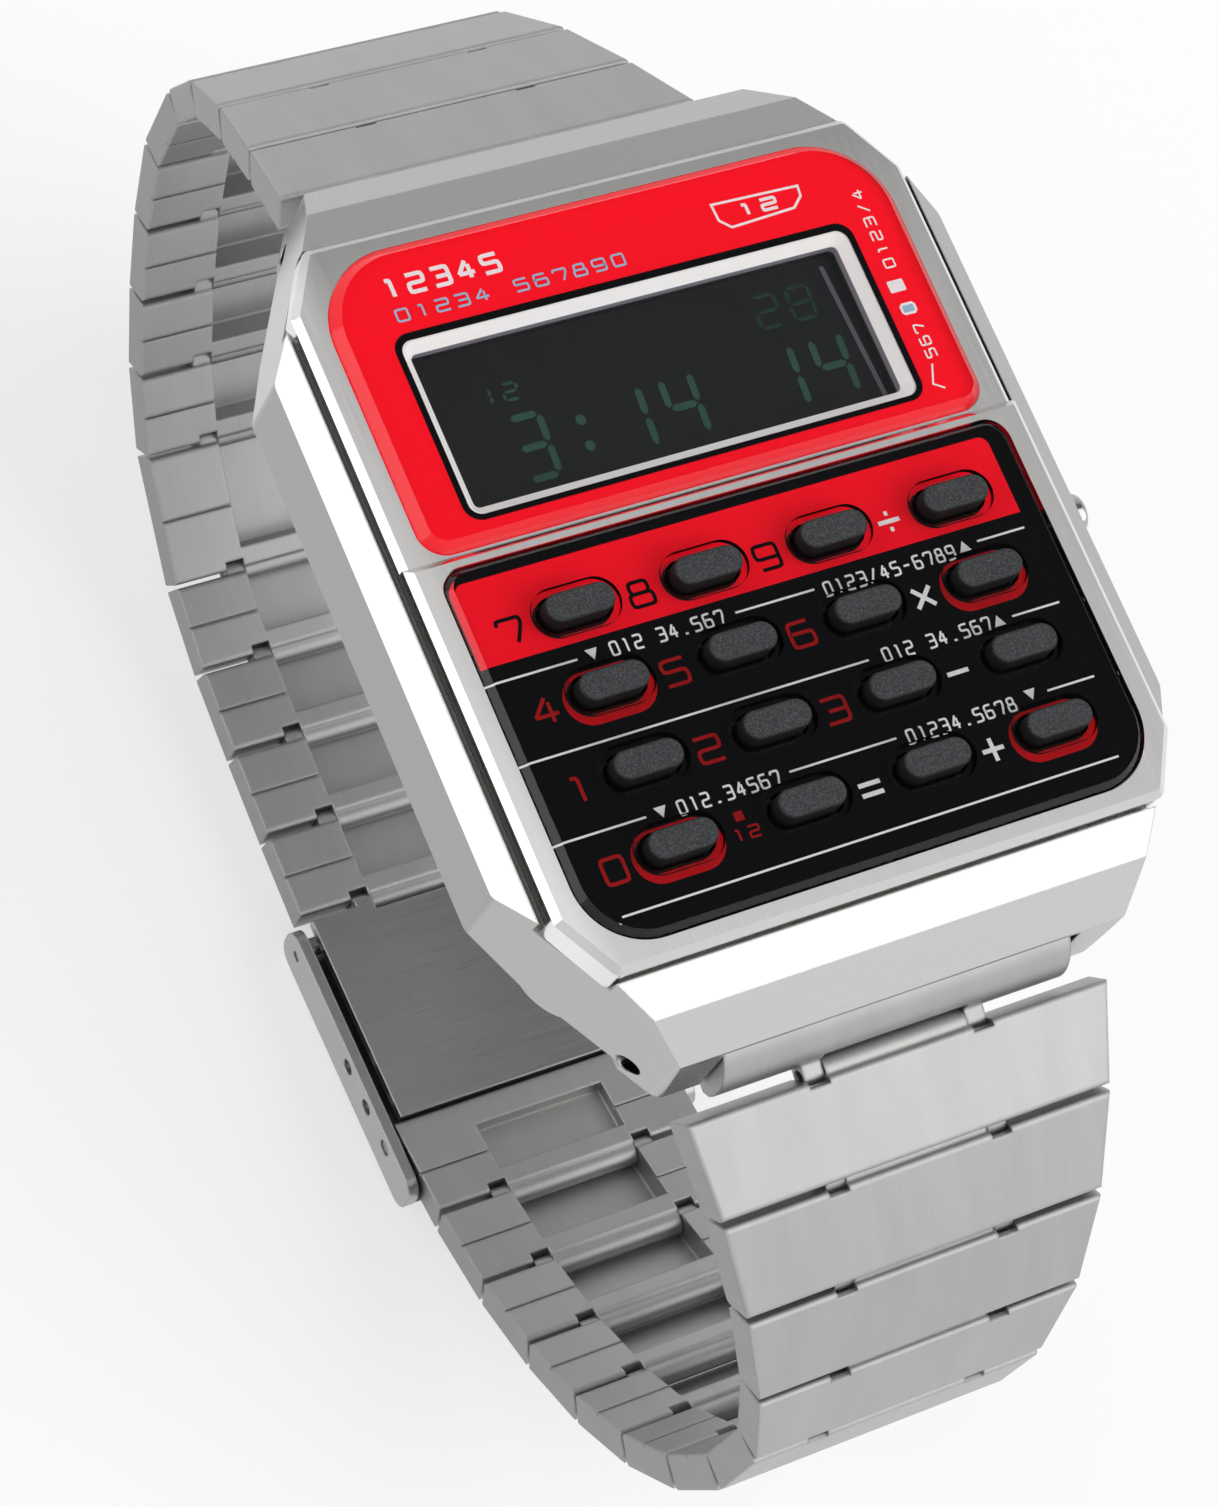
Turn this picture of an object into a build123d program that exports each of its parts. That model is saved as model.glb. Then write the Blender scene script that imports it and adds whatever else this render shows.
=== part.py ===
"""Calculator wristwatch: steel case, red display window, sixteen-key pad, folding-link bracelet and fold-over clasp.

Frame: millimetres, X towards three o'clock, Y towards twelve o'clock, Z out of the dial.
The origin is the centre of the case back, the face that lies on the wrist.
The bracelet hangs below the case as a closed loop and runs as one chain: from the upper lugs,
down and round to the clasp, and up again to the lower lugs.
"""
from build123d import *
import math
import os

UP = (0, 0, 1)
OVERRUN = 1.0

# Case: outer form
CASE_WIDTH = 34.4
CASE_LENGTH = 43.2
CASE_STRAIGHT = 24.4
LUG_OUTER_WIDTH = 22.7
BACK_THICKNESS = 0.9
CASE_HEIGHT = 5.85
CASE_BOTTOM = BACK_THICKNESS
CASE_TOP = CASE_BOTTOM + CASE_HEIGHT
CASE_CORNER_RADIUS = 0.8
SIDE_CHAMFER = 1.2
SIDE_CHAMFER_DROP = 0.78
UNDERCUT = 1.8
UNDERCUT_RISE = 0.93
END_FACETS = 3.78
END_FACET_BREAK = 1.9
END_FACET_DROP = 0.55
LUG_EDGE_DROP = 2.56
LUG_TIP_OUT = 0.2
LUG_HANG = 0.6
LUG_BOTTOM = CASE_BOTTOM - LUG_HANG
LUG_BOTTOM_SPREAD = 1.15
LUG_SLOT_WIDTH = 18.4
LUG_SLOT_DEPTH = 3.3
LUG_SLOT_HEIGHT = 3.65
LUG_HOLE = 1.1

# Case: inside
SIDE_WALL = 3.2
END_WALL = 6.5
CAVITY_WIDTH = CASE_WIDTH - 2 * SIDE_WALL
CAVITY_LENGTH = CASE_LENGTH - 2 * END_WALL
CAVITY_RADIUS = 2.5
BEZEL_SEAT = 0.85
DECK_THICKNESS = 0.7
DECK_TOP = CASE_TOP - BEZEL_SEAT
DECK_BOTTOM = DECK_TOP - DECK_THICKNESS

# Bezel: an octagonal frame with a display half and a raised keypad half
BEZEL_THICKNESS = 1.4
FACE_STEP = 0.45
FACE_BEVEL = 0.32
BEZEL_GAP_SIDE = 0.3
BEZEL_GAP_END = 0.12
FACE_HEIGHT = DECK_TOP + BEZEL_THICKNESS
FACE_WIDTH = CASE_WIDTH - 2 * (SIDE_CHAMFER + BEZEL_GAP_SIDE + FACE_BEVEL)
FACE_LENGTH = CASE_LENGTH - 2 * (END_FACETS + BEZEL_GAP_END + FACE_BEVEL)
FACE_CUT_X = 1.75
FACE_CUT_Y = 2.95
FACE_CORNER_RADIUS = 0.6
STEP_LINE = 2.15
STEP_RUN = 0.35
LEDGE = 0.8
WINDOW_GAP = 0.05

GLASS_SIDE_BAND = 0.98
GLASS_END_BAND = 0.63
GLASS_WIDTH = FACE_WIDTH - 2 * GLASS_SIDE_BAND
GLASS_TOP_EDGE = FACE_LENGTH / 2 - GLASS_END_BAND
GLASS_STEP_GAP = 0.15
GLASS_BOTTOM_EDGE = STEP_LINE + GLASS_STEP_GAP
GLASS_TOP_RADIUS = 3.9
GLASS_BOTTOM_RADIUS = 1.3
GLASS_THICKNESS = 1.1
GLASS_PROUD = 0.5
GLASS_BEVEL = 0.45

PANEL_SIDE_BAND = 0.93
PANEL_END_BAND = 0.68
PANEL_STEP_BAND = 0.35
PANEL_WIDTH = FACE_WIDTH - 2 * PANEL_SIDE_BAND
PANEL_TOP_EDGE = STEP_LINE - STEP_RUN - PANEL_STEP_BAND
PANEL_BOTTOM_EDGE = PANEL_END_BAND - FACE_LENGTH / 2
PANEL_TOP_RADIUS = 1.1
PANEL_BOTTOM_RADIUS = 3.2
PANEL_THICKNESS = 1.1
PANEL_PROUD = 0.25
PANEL_BEVEL = 0.35

# Keys: places are counted from the panel's edges
KEY_COLUMNS = 4
KEY_ROWS = 4
KEY_MARGIN_LEFT = 5.385
KEY_MARGIN_RIGHT = 4.285
KEY_MARGIN_TOP = 3.2
KEY_MARGIN_BOTTOM = 3.61
KEY_LENGTH = 3.4
KEY_WIDTH = 1.4
KEY_PROUD = 0.6
KEY_ROUNDING = 0.2
KEY_GAP = 0.15
KEY_RING = 0.3
KEY_RING_DEPTH = 0.3
KEY_FLANGE = 0.45
KEY_FLANGE_THICKNESS = 0.5
KEY_SEAT_GAP = 0.05
KEY_TRAVEL = 0.5
KEY_FOOT_GAP = 0.1
KEYPAD_MARGIN = 0.9
MEMBRANE_MARGIN = 0.5
MEMBRANE_THICKNESS = 0.7
DOME_HEIGHT = 0.45

# Module: holder, board, cell and display
FRAME_CLEARANCE = 0.3
FRAME_WALL = 1.0
FRAME_SHELF = 0.3
FRAME_RADIUS = 2.0
FRAME_LIFT = 0.3
FRAME_DROP = 0.1
FRAME_BOTTOM = CASE_BOTTOM + FRAME_LIFT
FRAME_TOP = DECK_BOTTOM - FRAME_DROP
BATTERY_DIAMETER = 20.0
BATTERY_THICKNESS = 1.6
BATTERY_CENTRE_Y = 4.1
BATTERY_LIFT = 0.45
BATTERY_GAP = 0.05
CAN_RIM = 1.2
CAN_STEP = 0.25
BOARD_BOTTOM = CASE_BOTTOM + BATTERY_LIFT + BATTERY_THICKNESS + BATTERY_GAP
BOARD_THICKNESS = 0.6
BOARD_TOP = BOARD_BOTTOM + BOARD_THICKNESS
BOARD_CLEARANCE = 0.1
CHIP_SIZE = 4.2
CHIP_HEIGHT = 0.45
CHIP_X = -8.0
CHIP_Y = 3.6
LCD_LIFT = 0.8
LCD_THICKNESS = 0.9
LCD_SIDE_MARGIN = 2.1
LCD_WIDTH = CAVITY_WIDTH - 2 * LCD_SIDE_MARGIN
LCD_TOP_MARGIN = 3.8
LCD_LOW_MARGIN = 0.85
LCD_TOP_EDGE = GLASS_TOP_EDGE - LCD_TOP_MARGIN
LCD_LOW_EDGE = GLASS_BOTTOM_EDGE + LCD_LOW_MARGIN
LCD_LENGTH = LCD_TOP_EDGE - LCD_LOW_EDGE
LCD_CENTRE_Y = (LCD_TOP_EDGE + LCD_LOW_EDGE) / 2
LCD_BOTTOM = BOARD_TOP + LCD_LIFT
LCD_SEAT_GAP = 0.2
RIM_SIDE_INSET = 0.38
RIM_END_INSET = 0.55
RIM_BORDER = 0.52
RIM_BEVEL = 0.46
RIM_RADIUS = 0.6
RIM_GLASS_GAP = 0.05
CONNECTOR_INSET = 1.9
CONNECTOR_DEPTH = 0.8
CONNECTOR_SLOT_GAP = 0.2

# Case back
BACK_SIDE_INSET = 2.0
BACK_END_INSET = 3.9
BACK_WIDTH = CASE_WIDTH - 2 * BACK_SIDE_INSET
BACK_LENGTH = CASE_LENGTH - 2 * BACK_END_INSET
BACK_RADIUS = 3.2
BACK_EDGE = 0.25
BACK_LUG_GAP = 0.2
GASKET_WIDTH = 0.5
GASKET_HEIGHT = 0.4
GASKET_INSET = 0.25
GASKET_GAP = 0.03
BUZZER_DIAMETER = 8.4
BUZZER_THICKNESS = 0.2
BUZZER_CENTRE_Y = -10.2
SCREW_SIDE_INSET = 3.6
SCREW_END_INSET = 0.95
SCREW_HEAD = 1.5
SCREW_HEAD_HEIGHT = 0.4
SCREW_SHANK = 0.8
SCREW_LENGTH = 2.4
SCREW_SUNK = 0.1
SCREW_GAP = 0.04
SCREW_SLOT = 0.25

# Side buttons
BUTTON_RISE = 3.0
MODE_BUTTON_Y = -2.9
MODE_HEAD = 2.0
MODE_HEAD_LENGTH = 1.4
MODE_PROUD = 1.25
MODE_WELL_GAP = 0.12
MODE_STEM = 1.1
MODE_ROUNDING = 0.3
ADJUST_BUTTON_Y = 4.6
ADJUST_STEM = 1.3
ADJUST_SUNK = 0.25
BUTTON_TRAVEL = 0.5
BUTTON_RUNNING_GAP = 0.05
BUTTON_INNER_GAP = 0.35

# Bracelet
BAR_INSET = 1.45
BAR_RISE = 0.95
BAR_Y = CASE_LENGTH / 2 - BAR_INSET
BAR_Z = LUG_BOTTOM + BAR_RISE
BAR_DIAMETER = 0.9
BAR_REACH = 1.3
END_LINK_SIDE_GAP = 0.2
END_LINK_WIDTH = LUG_SLOT_WIDTH - 2 * END_LINK_SIDE_GAP
BAR_LENGTH = LUG_SLOT_WIDTH + 2 * BAR_REACH
END_LINK_LENGTH = 2.95
END_LINK_RADIUS = 2.5
END_LINK_BACK = 1.15
END_LINK_ARC_START_DEG = -8
END_LINK_ARC_END_DEG = 125
END_EYE_RADIUS = 0.5
LINK_PITCH = 4.9
LONG_LINK_SHARE = 1.5
LONG_LINK_COUNT = 10
UPPER_LINK_COUNT = 14
LOWER_LINK_COUNT = 12
LUG_SIDE_STEP = 0.35
BRACELET_WIDTH_LUG = LUG_OUTER_WIDTH - 2 * LUG_SIDE_STEP
BRACELET_WIDTH_CLASP = 15.6
TAPER_LINK_COUNT = 4
LINK_OUTER = 1.0
LINK_INNER = 0.8
LINK_GAP = 0.4
LINK_FACE_GAP = 0.12
LINK_ROUND_OUTER = 0.22
LINK_ROUND_INNER = 0.25
LINK_SIDE_ROUND = 0.15
LINK_SHEET = 0.3
SEAM_WIDTH = 0.12
SEAM_DEPTH = 0.2
TONGUE_WIDTH = 7.4
TONGUE_SIDE_GAP = 0.05
TONGUE_WEB = 1.3
EAR_WIDTH = 1.0
EYE_RADIUS = 0.62
EYE_GAP = 0.08
EYE_NOTCH = 0.35
PIN_RADIUS = 0.32
PIN_TONGUE_GAP = 0.04
PIN_EAR_GAP = 0.02

# Clasp
CLASP_SPAN = 13.2
BLADE_SIDE_GAP = 0.6
BLADE_THICKNESS = 0.6
BLADE_DROP = 0.95
BLADE_END_GAP = 1.0
BLADE_START = 0.4
KNUCKLE_RADIUS = 0.5
KNUCKLE_RISE = 0.25
FOLD_INSET = 1.9
COVER_PIVOT = 1.6
MIDDLE_SIDE_INSET = 0.6
MIDDLE_THICKNESS = 0.5
MIDDLE_NECK = 5.8
MIDDLE_NECK_GAP = 0.12
CLASP_PIN = 0.27
CLASP_PIN_GAP = 0.04
COVER_START = 0.35
COVER_END = 3.1
COVER_ROOF_GAP = 0.25
COVER_PLATE = 0.5
COVER_WALL = 0.6
COVER_SIDE_GAP = 0.2
COVER_CHANNEL = BRACELET_WIDTH_CLASP + 2 * COVER_SIDE_GAP
COVER_INNER = LINK_OUTER + COVER_ROOF_GAP
COVER_LIP = 0.9
COVER_ROUND = 1.0
BLADE_WIDTH = COVER_CHANNEL - 2 * BLADE_SIDE_GAP
MIDDLE_WIDTH = BLADE_WIDTH - 2 * MIDDLE_SIDE_INSET
CLASP_BAR = 0.4
CLASP_BAR_GAP = 0.05
CLASP_BAR_END_GAP = 0.1
CLASP_EYE = 0.8
ADJUST_HOLE_PITCH = 2.4

# Worn curve: heading of each link in degrees about X, before the loop is closed exactly
UPPER_HEADINGS_DEG = [-34.3, -38.1, -47.6, -66.7, -89.3, -106.1, -113.3, -119.0, -131.6, -150.8, -167.2, -175.5,
                      -177.8, -179.9]
LOWER_HEADINGS_DEG = [-194.7, -202.4, -211.9, -220.5, -230.4, -242.3, -256.4, -271.6, -290.9, -306.1, -319.5,
                      -330.5]
UPPER_END_HEADING_DEG = -31.4
CLASP_HEADING_DEG = -185.3
LOWER_END_HEADING_DEG = -345.6


def block(x0, x1, y0, y1, z0, z1):
    """Box between two corners."""
    return Pos((x0 + x1) / 2, (y0 + y1) / 2, (z0 + z1) / 2) * Box(x1 - x0, y1 - y0, z1 - z0)


def centred_block(width, y0, y1, z0, z1):
    """Box of a full width across X."""
    return block(-width / 2, width / 2, y0, y1, z0, z1)


def prism_x(points, width):
    """Y-Z outline carried across X, centred."""
    return extrude(Plane.YZ * Polygon(*points, align=None), amount=width / 2, both=True)


def prism_y(points, length):
    """X-Z outline carried along Y, centred."""
    return extrude(Plane.XZ * Polygon(*points, align=None), amount=length / 2, both=True)


def prism_z(face, z0, z1):
    """Flat face carried from one height to another."""
    return extrude(Pos(0, 0, z0) * face, amount=z1 - z0, dir=UP)


def rod_x(radius, x0, x1, y=0, z=0):
    """Round rod along X."""
    return Pos((x0 + x1) / 2, y, z) * Rot(0, 90, 0) * Cylinder(radius, x1 - x0)


def rod_z(radius, z0, z1, x=0, y=0):
    """Round rod along Z."""
    return Pos(x, y, (z0 + z1) / 2) * Cylinder(radius, z1 - z0)


def both_sides(x0, x1, maker):
    """The same shape on the left and on the right."""
    return maker(x0, x1) + maker(-x1, -x0)


def stadium(length, width):
    """Flat slot outline."""
    return SlotOverall(length, width)


def rounded_rectangle(width, y0, y1, radius_low, radius_high):
    """Rectangle whose lower and upper corners have their own radii."""
    face = Polygon((-width / 2, y0), (width / 2, y0), (width / 2, y1), (-width / 2, y1), align=None)
    low = [v for v in face.vertices() if v.Y < (y0 + y1) / 2]
    face = fillet(low, radius_low)
    high = [v for v in face.vertices() if v.Y > y1 - max(radius_low, radius_high)]
    high = sorted(high, key=lambda v: -v.Y)[:2]
    return fillet(high, radius_high)


def cut_octagon(width, length, cut_x, cut_y, radius):
    """Rectangle with its four corners cut off, and the eight corners eased."""
    radius = min(radius, cut_x / 2, cut_y / 2)
    x, y = width / 2, length / 2
    points = [(x, y - cut_y), (x - cut_x, y), (cut_x - x, y), (-x, y - cut_y),
              (-x, cut_y - y), (cut_x - x, -y), (x - cut_x, -y), (x, cut_y - y)]
    face = Polygon(*points, align=None)
    return fillet(face.vertices(), radius)


def mirrored_outline(half):
    """Closes an outline given for one side by its mirror image."""
    return half + [(-a, b) for a, b in reversed(half) if a > 0]


# Case and its closures
def bezel_recess_face():
    return cut_octagon(FACE_WIDTH + 2 * FACE_BEVEL + 2 * BEZEL_GAP_SIDE, FACE_LENGTH + 2 * FACE_BEVEL + 2 * BEZEL_GAP_END,
                       FACE_CUT_X, FACE_CUT_Y, FACE_CORNER_RADIUS)


def key_places():
    """Centre of each key, row by row from the top left."""
    left = KEY_MARGIN_LEFT - PANEL_WIDTH / 2
    top = PANEL_TOP_EDGE - KEY_MARGIN_TOP
    pitch_x = (PANEL_WIDTH - KEY_MARGIN_LEFT - KEY_MARGIN_RIGHT) / (KEY_COLUMNS - 1)
    pitch_y = (PANEL_TOP_EDGE - PANEL_BOTTOM_EDGE - KEY_MARGIN_TOP - KEY_MARGIN_BOTTOM) / (KEY_ROWS - 1)
    places = []
    for row in range(KEY_ROWS):
        for column in range(KEY_COLUMNS):
            x = left + pitch_x * column
            y = top - pitch_y * row
            places.append((x, y))
    return places


def keypad_window(margin):
    """Sides of the rectangle that leaves a margin round all the keys."""
    xs = [x for x, y in key_places()]
    ys = [y for x, y in key_places()]
    reach_x = KEY_LENGTH / 2 + margin
    reach_y = KEY_WIDTH / 2 + margin
    return min(xs) - reach_x, max(xs) + reach_x, min(ys) - reach_y, max(ys) + reach_y


def make_case():
    half_width, half_length = CASE_WIDTH / 2, CASE_LENGTH / 2
    slant_x = (CASE_WIDTH - LUG_OUTER_WIDTH) / 2
    slant_y = (CASE_LENGTH - CASE_STRAIGHT) / 2
    plan = cut_octagon(CASE_WIDTH, CASE_LENGTH + 2 * LUG_TIP_OUT, slant_x, slant_y, CASE_CORNER_RADIUS)
    bezel_end = half_length - END_FACETS
    facet_break = half_length - END_FACET_BREAK
    lug_root = BACK_LENGTH / 2 + BACK_LUG_GAP
    lug_foot = LUG_OUTER_WIDTH / 2 + LUG_BOTTOM_SPREAD
    side_view = [(bezel_end, CASE_TOP), (facet_break, CASE_TOP - END_FACET_DROP),
                 (half_length, CASE_TOP - LUG_EDGE_DROP), (half_length + LUG_TIP_OUT, LUG_BOTTOM),
                 (lug_root, LUG_BOTTOM), (lug_root, CASE_BOTTOM)]
    front_view = [(half_width - SIDE_CHAMFER, CASE_TOP), (half_width, CASE_TOP - SIDE_CHAMFER_DROP),
                  (half_width, CASE_BOTTOM + UNDERCUT_RISE), (half_width - UNDERCUT, CASE_BOTTOM),
                  (lug_foot, CASE_BOTTOM), (lug_foot, LUG_BOTTOM)]
    case = prism_z(plan, LUG_BOTTOM, CASE_TOP)
    case &= prism_x(mirrored_outline(side_view), CASE_WIDTH + OVERRUN)
    case &= prism_y(mirrored_outline(front_view), CASE_LENGTH + 2 * LUG_TIP_OUT + OVERRUN)
    case -= prism_z(bezel_recess_face(), DECK_TOP, CASE_TOP + OVERRUN)
    cavity = RectangleRounded(CAVITY_WIDTH, CAVITY_LENGTH, CAVITY_RADIUS)
    case -= prism_z(cavity, CASE_BOTTOM - OVERRUN, DECK_BOTTOM)
    case -= centred_block(LCD_WIDTH + 2 * FRAME_CLEARANCE, LCD_LOW_EDGE - FRAME_CLEARANCE,
                          LCD_TOP_EDGE + FRAME_CLEARANCE, DECK_BOTTOM - OVERRUN, DECK_TOP + OVERRUN)
    x0, x1, y0, y1 = keypad_window(KEYPAD_MARGIN)
    case -= block(x0, x1, y0, y1, DECK_BOTTOM - OVERRUN, DECK_TOP + OVERRUN)
    for side in (1, -1):
        start, end = sorted((side * (half_length - LUG_SLOT_DEPTH), side * (half_length + OVERRUN)))
        case -= centred_block(LUG_SLOT_WIDTH, start, end, LUG_BOTTOM - OVERRUN, LUG_BOTTOM + LUG_SLOT_HEIGHT)
        case -= rod_x(LUG_HOLE / 2, -half_width, half_width, side * BAR_Y, BAR_Z)
    groove = gasket_shape(GASKET_GAP, GASKET_HEIGHT + GASKET_GAP)
    case -= groove
    for x, y in screw_places():
        case -= rod_z(SCREW_SHANK / 2 + SCREW_GAP, CASE_BOTTOM - OVERRUN, CASE_BOTTOM + SCREW_LENGTH, x, y)
    well = half_width + MODE_PROUD - MODE_HEAD_LENGTH - BUTTON_TRAVEL - MODE_WELL_GAP
    case -= rod_x(MODE_HEAD / 2 + MODE_WELL_GAP, well, half_width + OVERRUN, MODE_BUTTON_Y, button_height())
    inner = CAVITY_WIDTH / 2 - OVERRUN
    case -= rod_x(MODE_STEM / 2 + BUTTON_RUNNING_GAP, inner, half_width, MODE_BUTTON_Y, button_height())
    case -= rod_x(ADJUST_STEM / 2 + BUTTON_RUNNING_GAP, inner, half_width + OVERRUN, ADJUST_BUTTON_Y, button_height())
    return case


def button_height():
    return CASE_BOTTOM + BUTTON_RISE


def bevelled_plate(face, bottom, top, bevel):
    """Plate whose upper edge is bevelled all round."""
    plate = prism_z(face, bottom, top)
    return chamfer(plate.faces().sort_by(Axis.Z)[-1].edges(), bevel)


def glass_face(grow=0):
    return rounded_rectangle(GLASS_WIDTH + 2 * grow, GLASS_BOTTOM_EDGE - grow, GLASS_TOP_EDGE + grow,
                             GLASS_BOTTOM_RADIUS + grow, GLASS_TOP_RADIUS + grow)


def panel_face(grow=0):
    return rounded_rectangle(PANEL_WIDTH + 2 * grow, PANEL_BOTTOM_EDGE - grow, PANEL_TOP_EDGE + grow,
                             PANEL_BOTTOM_RADIUS + grow, PANEL_TOP_RADIUS + grow)


def glass_heights():
    top = FACE_HEIGHT + GLASS_PROUD
    return top - GLASS_THICKNESS, top


def panel_heights():
    top = FACE_HEIGHT + FACE_STEP + PANEL_PROUD
    return top - PANEL_THICKNESS, top


def make_bezel():
    """Octagonal frame whose keypad half stands a step higher than its display half."""
    outline = cut_octagon(FACE_WIDTH + 2 * FACE_BEVEL, FACE_LENGTH + 2 * FACE_BEVEL, FACE_CUT_X, FACE_CUT_Y,
                          FACE_CORNER_RADIUS)
    upper = bevelled_plate(outline, DECK_TOP, FACE_HEIGHT, FACE_BEVEL)
    lower = bevelled_plate(outline, DECK_TOP, FACE_HEIGHT + FACE_STEP, FACE_BEVEL)
    far = FACE_LENGTH
    keypad_half = [(-far, DECK_TOP), (STEP_LINE, DECK_TOP), (STEP_LINE, FACE_HEIGHT),
                   (STEP_LINE - STEP_RUN, FACE_HEIGHT + FACE_STEP), (-far, FACE_HEIGHT + FACE_STEP)]
    bezel = upper + (lower & prism_x(keypad_half, FACE_WIDTH + far))
    for face_maker, heights in ((glass_face, glass_heights()), (panel_face, panel_heights())):
        bezel -= prism_z(face_maker(WINDOW_GAP), heights[0], FACE_HEIGHT + FACE_STEP + OVERRUN)
        bezel -= prism_z(face_maker(-LEDGE), DECK_TOP - OVERRUN, heights[0])
    return bezel


def make_display_glass():
    bottom, top = glass_heights()
    return bevelled_plate(glass_face(), bottom, top, GLASS_BEVEL)


def make_keypad_panel():
    bottom, top = panel_heights()
    panel = bevelled_plate(panel_face(), bottom, top, PANEL_BEVEL)
    grow = 2 * KEY_GAP
    ring = grow + 2 * KEY_RING
    for x, y in key_places():
        panel -= Pos(x, y, 0) * prism_z(stadium(KEY_LENGTH + grow, KEY_WIDTH + grow), bottom - OVERRUN, top + OVERRUN)
        panel -= Pos(x, y, 0) * prism_z(stadium(KEY_LENGTH + ring, KEY_WIDTH + ring), top - KEY_RING_DEPTH, top + OVERRUN)
    return panel


def membrane_heights():
    return BOARD_TOP, BOARD_TOP + MEMBRANE_THICKNESS


def make_key():
    """One rubber key at the origin, with the flange that keeps it under the panel."""
    bottom, top = panel_heights()
    foot = membrane_heights()[1] + DOME_HEIGHT + KEY_FOOT_GAP
    stem = prism_z(stadium(KEY_LENGTH, KEY_WIDTH), foot, top + KEY_PROUD)
    stem = fillet(stem.faces().sort_by(Axis.Z)[-1].edges(), KEY_ROUNDING)
    flange_top = bottom - KEY_SEAT_GAP
    flange = stadium(KEY_LENGTH + 2 * KEY_FLANGE, KEY_WIDTH + 2 * KEY_FLANGE)
    return stem + prism_z(flange, flange_top - KEY_FLANGE_THICKNESS, flange_top)


def make_key_membrane():
    """Rubber contact sheet with a hollow-topped pad ring under every key."""
    x0, x1, y0, y1 = keypad_window(MEMBRANE_MARGIN)
    bottom, top = membrane_heights()
    sheet = block(x0, x1, y0, y1, bottom, top)
    ring = stadium(KEY_LENGTH + 2 * KEY_RING, KEY_WIDTH + 2 * KEY_RING)
    well = stadium(KEY_LENGTH + KEY_GAP, KEY_WIDTH + KEY_GAP)
    for x, y in key_places():
        sheet += Pos(x, y, 0) * prism_z(ring, top, top + DOME_HEIGHT)
        sheet -= Pos(x, y, 0) * prism_z(well, top + DOME_HEIGHT + KEY_FOOT_GAP - KEY_TRAVEL - KEY_FOOT_GAP,
                                        top + DOME_HEIGHT + OVERRUN)
    return sheet


def make_lcd_panel():
    """Liquid-crystal glass, and the bright frame that stands on it round its window."""
    cell_top = LCD_BOTTOM + LCD_THICKNESS
    cell = centred_block(LCD_WIDTH, LCD_LOW_EDGE, LCD_TOP_EDGE, LCD_BOTTOM, cell_top)
    rim_width, rim_length = LCD_WIDTH - 2 * RIM_SIDE_INSET, LCD_LENGTH - 2 * RIM_END_INSET
    rim = RectangleRounded(rim_width, rim_length, RIM_RADIUS)
    rim -= RectangleRounded(rim_width - 2 * RIM_BORDER, rim_length - 2 * RIM_BORDER, RIM_RADIUS / 2)
    frame = prism_z(rim, cell_top, glass_heights()[0] - RIM_GLASS_GAP)
    frame = chamfer(frame.faces().sort_by(Axis.Z)[-1].inner_wires()[0].edges(), RIM_BEVEL)
    return Compound(children=[cell, Pos(0, LCD_CENTRE_Y, 0) * frame])


def connector_edges():
    """Low and high edge of the connector strip under the display's upper rim."""
    low = LCD_TOP_EDGE - 2 * CONNECTOR_DEPTH
    return low, low + CONNECTOR_DEPTH


def connector_width():
    return LCD_WIDTH - 2 * CONNECTOR_INSET


def make_module_frame():
    """Moulded holder: a wall round the works and a shelf under the display."""
    width, length = CAVITY_WIDTH - 2 * FRAME_CLEARANCE, CAVITY_LENGTH - 2 * FRAME_CLEARANCE
    frame = prism_z(RectangleRounded(width, length, FRAME_RADIUS), FRAME_BOTTOM, FRAME_TOP)
    inner_width, inner_length = width - 2 * FRAME_WALL, length - 2 * FRAME_WALL
    frame -= centred_block(inner_width, -inner_length / 2, inner_length / 2,
                           FRAME_BOTTOM - OVERRUN, LCD_BOTTOM - FRAME_SHELF)
    frame -= centred_block(inner_width, -inner_length / 2, LCD_LOW_EDGE - FRAME_WALL,
                           FRAME_BOTTOM - OVERRUN, FRAME_TOP + OVERRUN)
    frame -= rod_z(BATTERY_DIAMETER / 2 + CONNECTOR_SLOT_GAP, FRAME_BOTTOM - OVERRUN, BOARD_BOTTOM,
                   0, BATTERY_CENTRE_Y)
    x0, x1, y0, y1 = keypad_window(MEMBRANE_MARGIN + CONNECTOR_SLOT_GAP)
    frame -= block(x0, x1, y0, y1, BOARD_TOP, FRAME_TOP + OVERRUN)
    frame -= centred_block(LCD_WIDTH + 2 * LCD_SEAT_GAP, LCD_LOW_EDGE - LCD_SEAT_GAP, LCD_TOP_EDGE + LCD_SEAT_GAP,
                           LCD_BOTTOM, FRAME_TOP + OVERRUN)
    low, high = connector_edges()
    return frame - centred_block(connector_width() + 2 * CONNECTOR_SLOT_GAP, low - CONNECTOR_SLOT_GAP,
                                 high + CONNECTOR_SLOT_GAP, FRAME_BOTTOM, FRAME_TOP + OVERRUN)


def make_circuit_board():
    """Printed board with its chip and the rubber connector strip that feeds the display."""
    inset = FRAME_CLEARANCE + FRAME_WALL + BOARD_CLEARANCE
    half_length = CAVITY_LENGTH / 2 - inset
    board = centred_block(CAVITY_WIDTH - 2 * inset, -half_length, half_length, BOARD_BOTTOM, BOARD_TOP)
    chip = Pos(CHIP_X, CHIP_Y, BOARD_TOP + CHIP_HEIGHT / 2) * Box(CHIP_SIZE, CHIP_SIZE, CHIP_HEIGHT)
    strip = centred_block(connector_width(), *connector_edges(), BOARD_TOP, LCD_BOTTOM)
    return Compound(children=[board, chip, strip])


def make_battery():
    top = BOARD_BOTTOM - BATTERY_GAP
    bottom = top - BATTERY_THICKNESS
    can = rod_z(BATTERY_DIAMETER / 2, bottom + CAN_STEP, top, 0, BATTERY_CENTRE_Y)
    return can + rod_z(BATTERY_DIAMETER / 2 - CAN_RIM, bottom, bottom + CAN_STEP, 0, BATTERY_CENTRE_Y)


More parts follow.
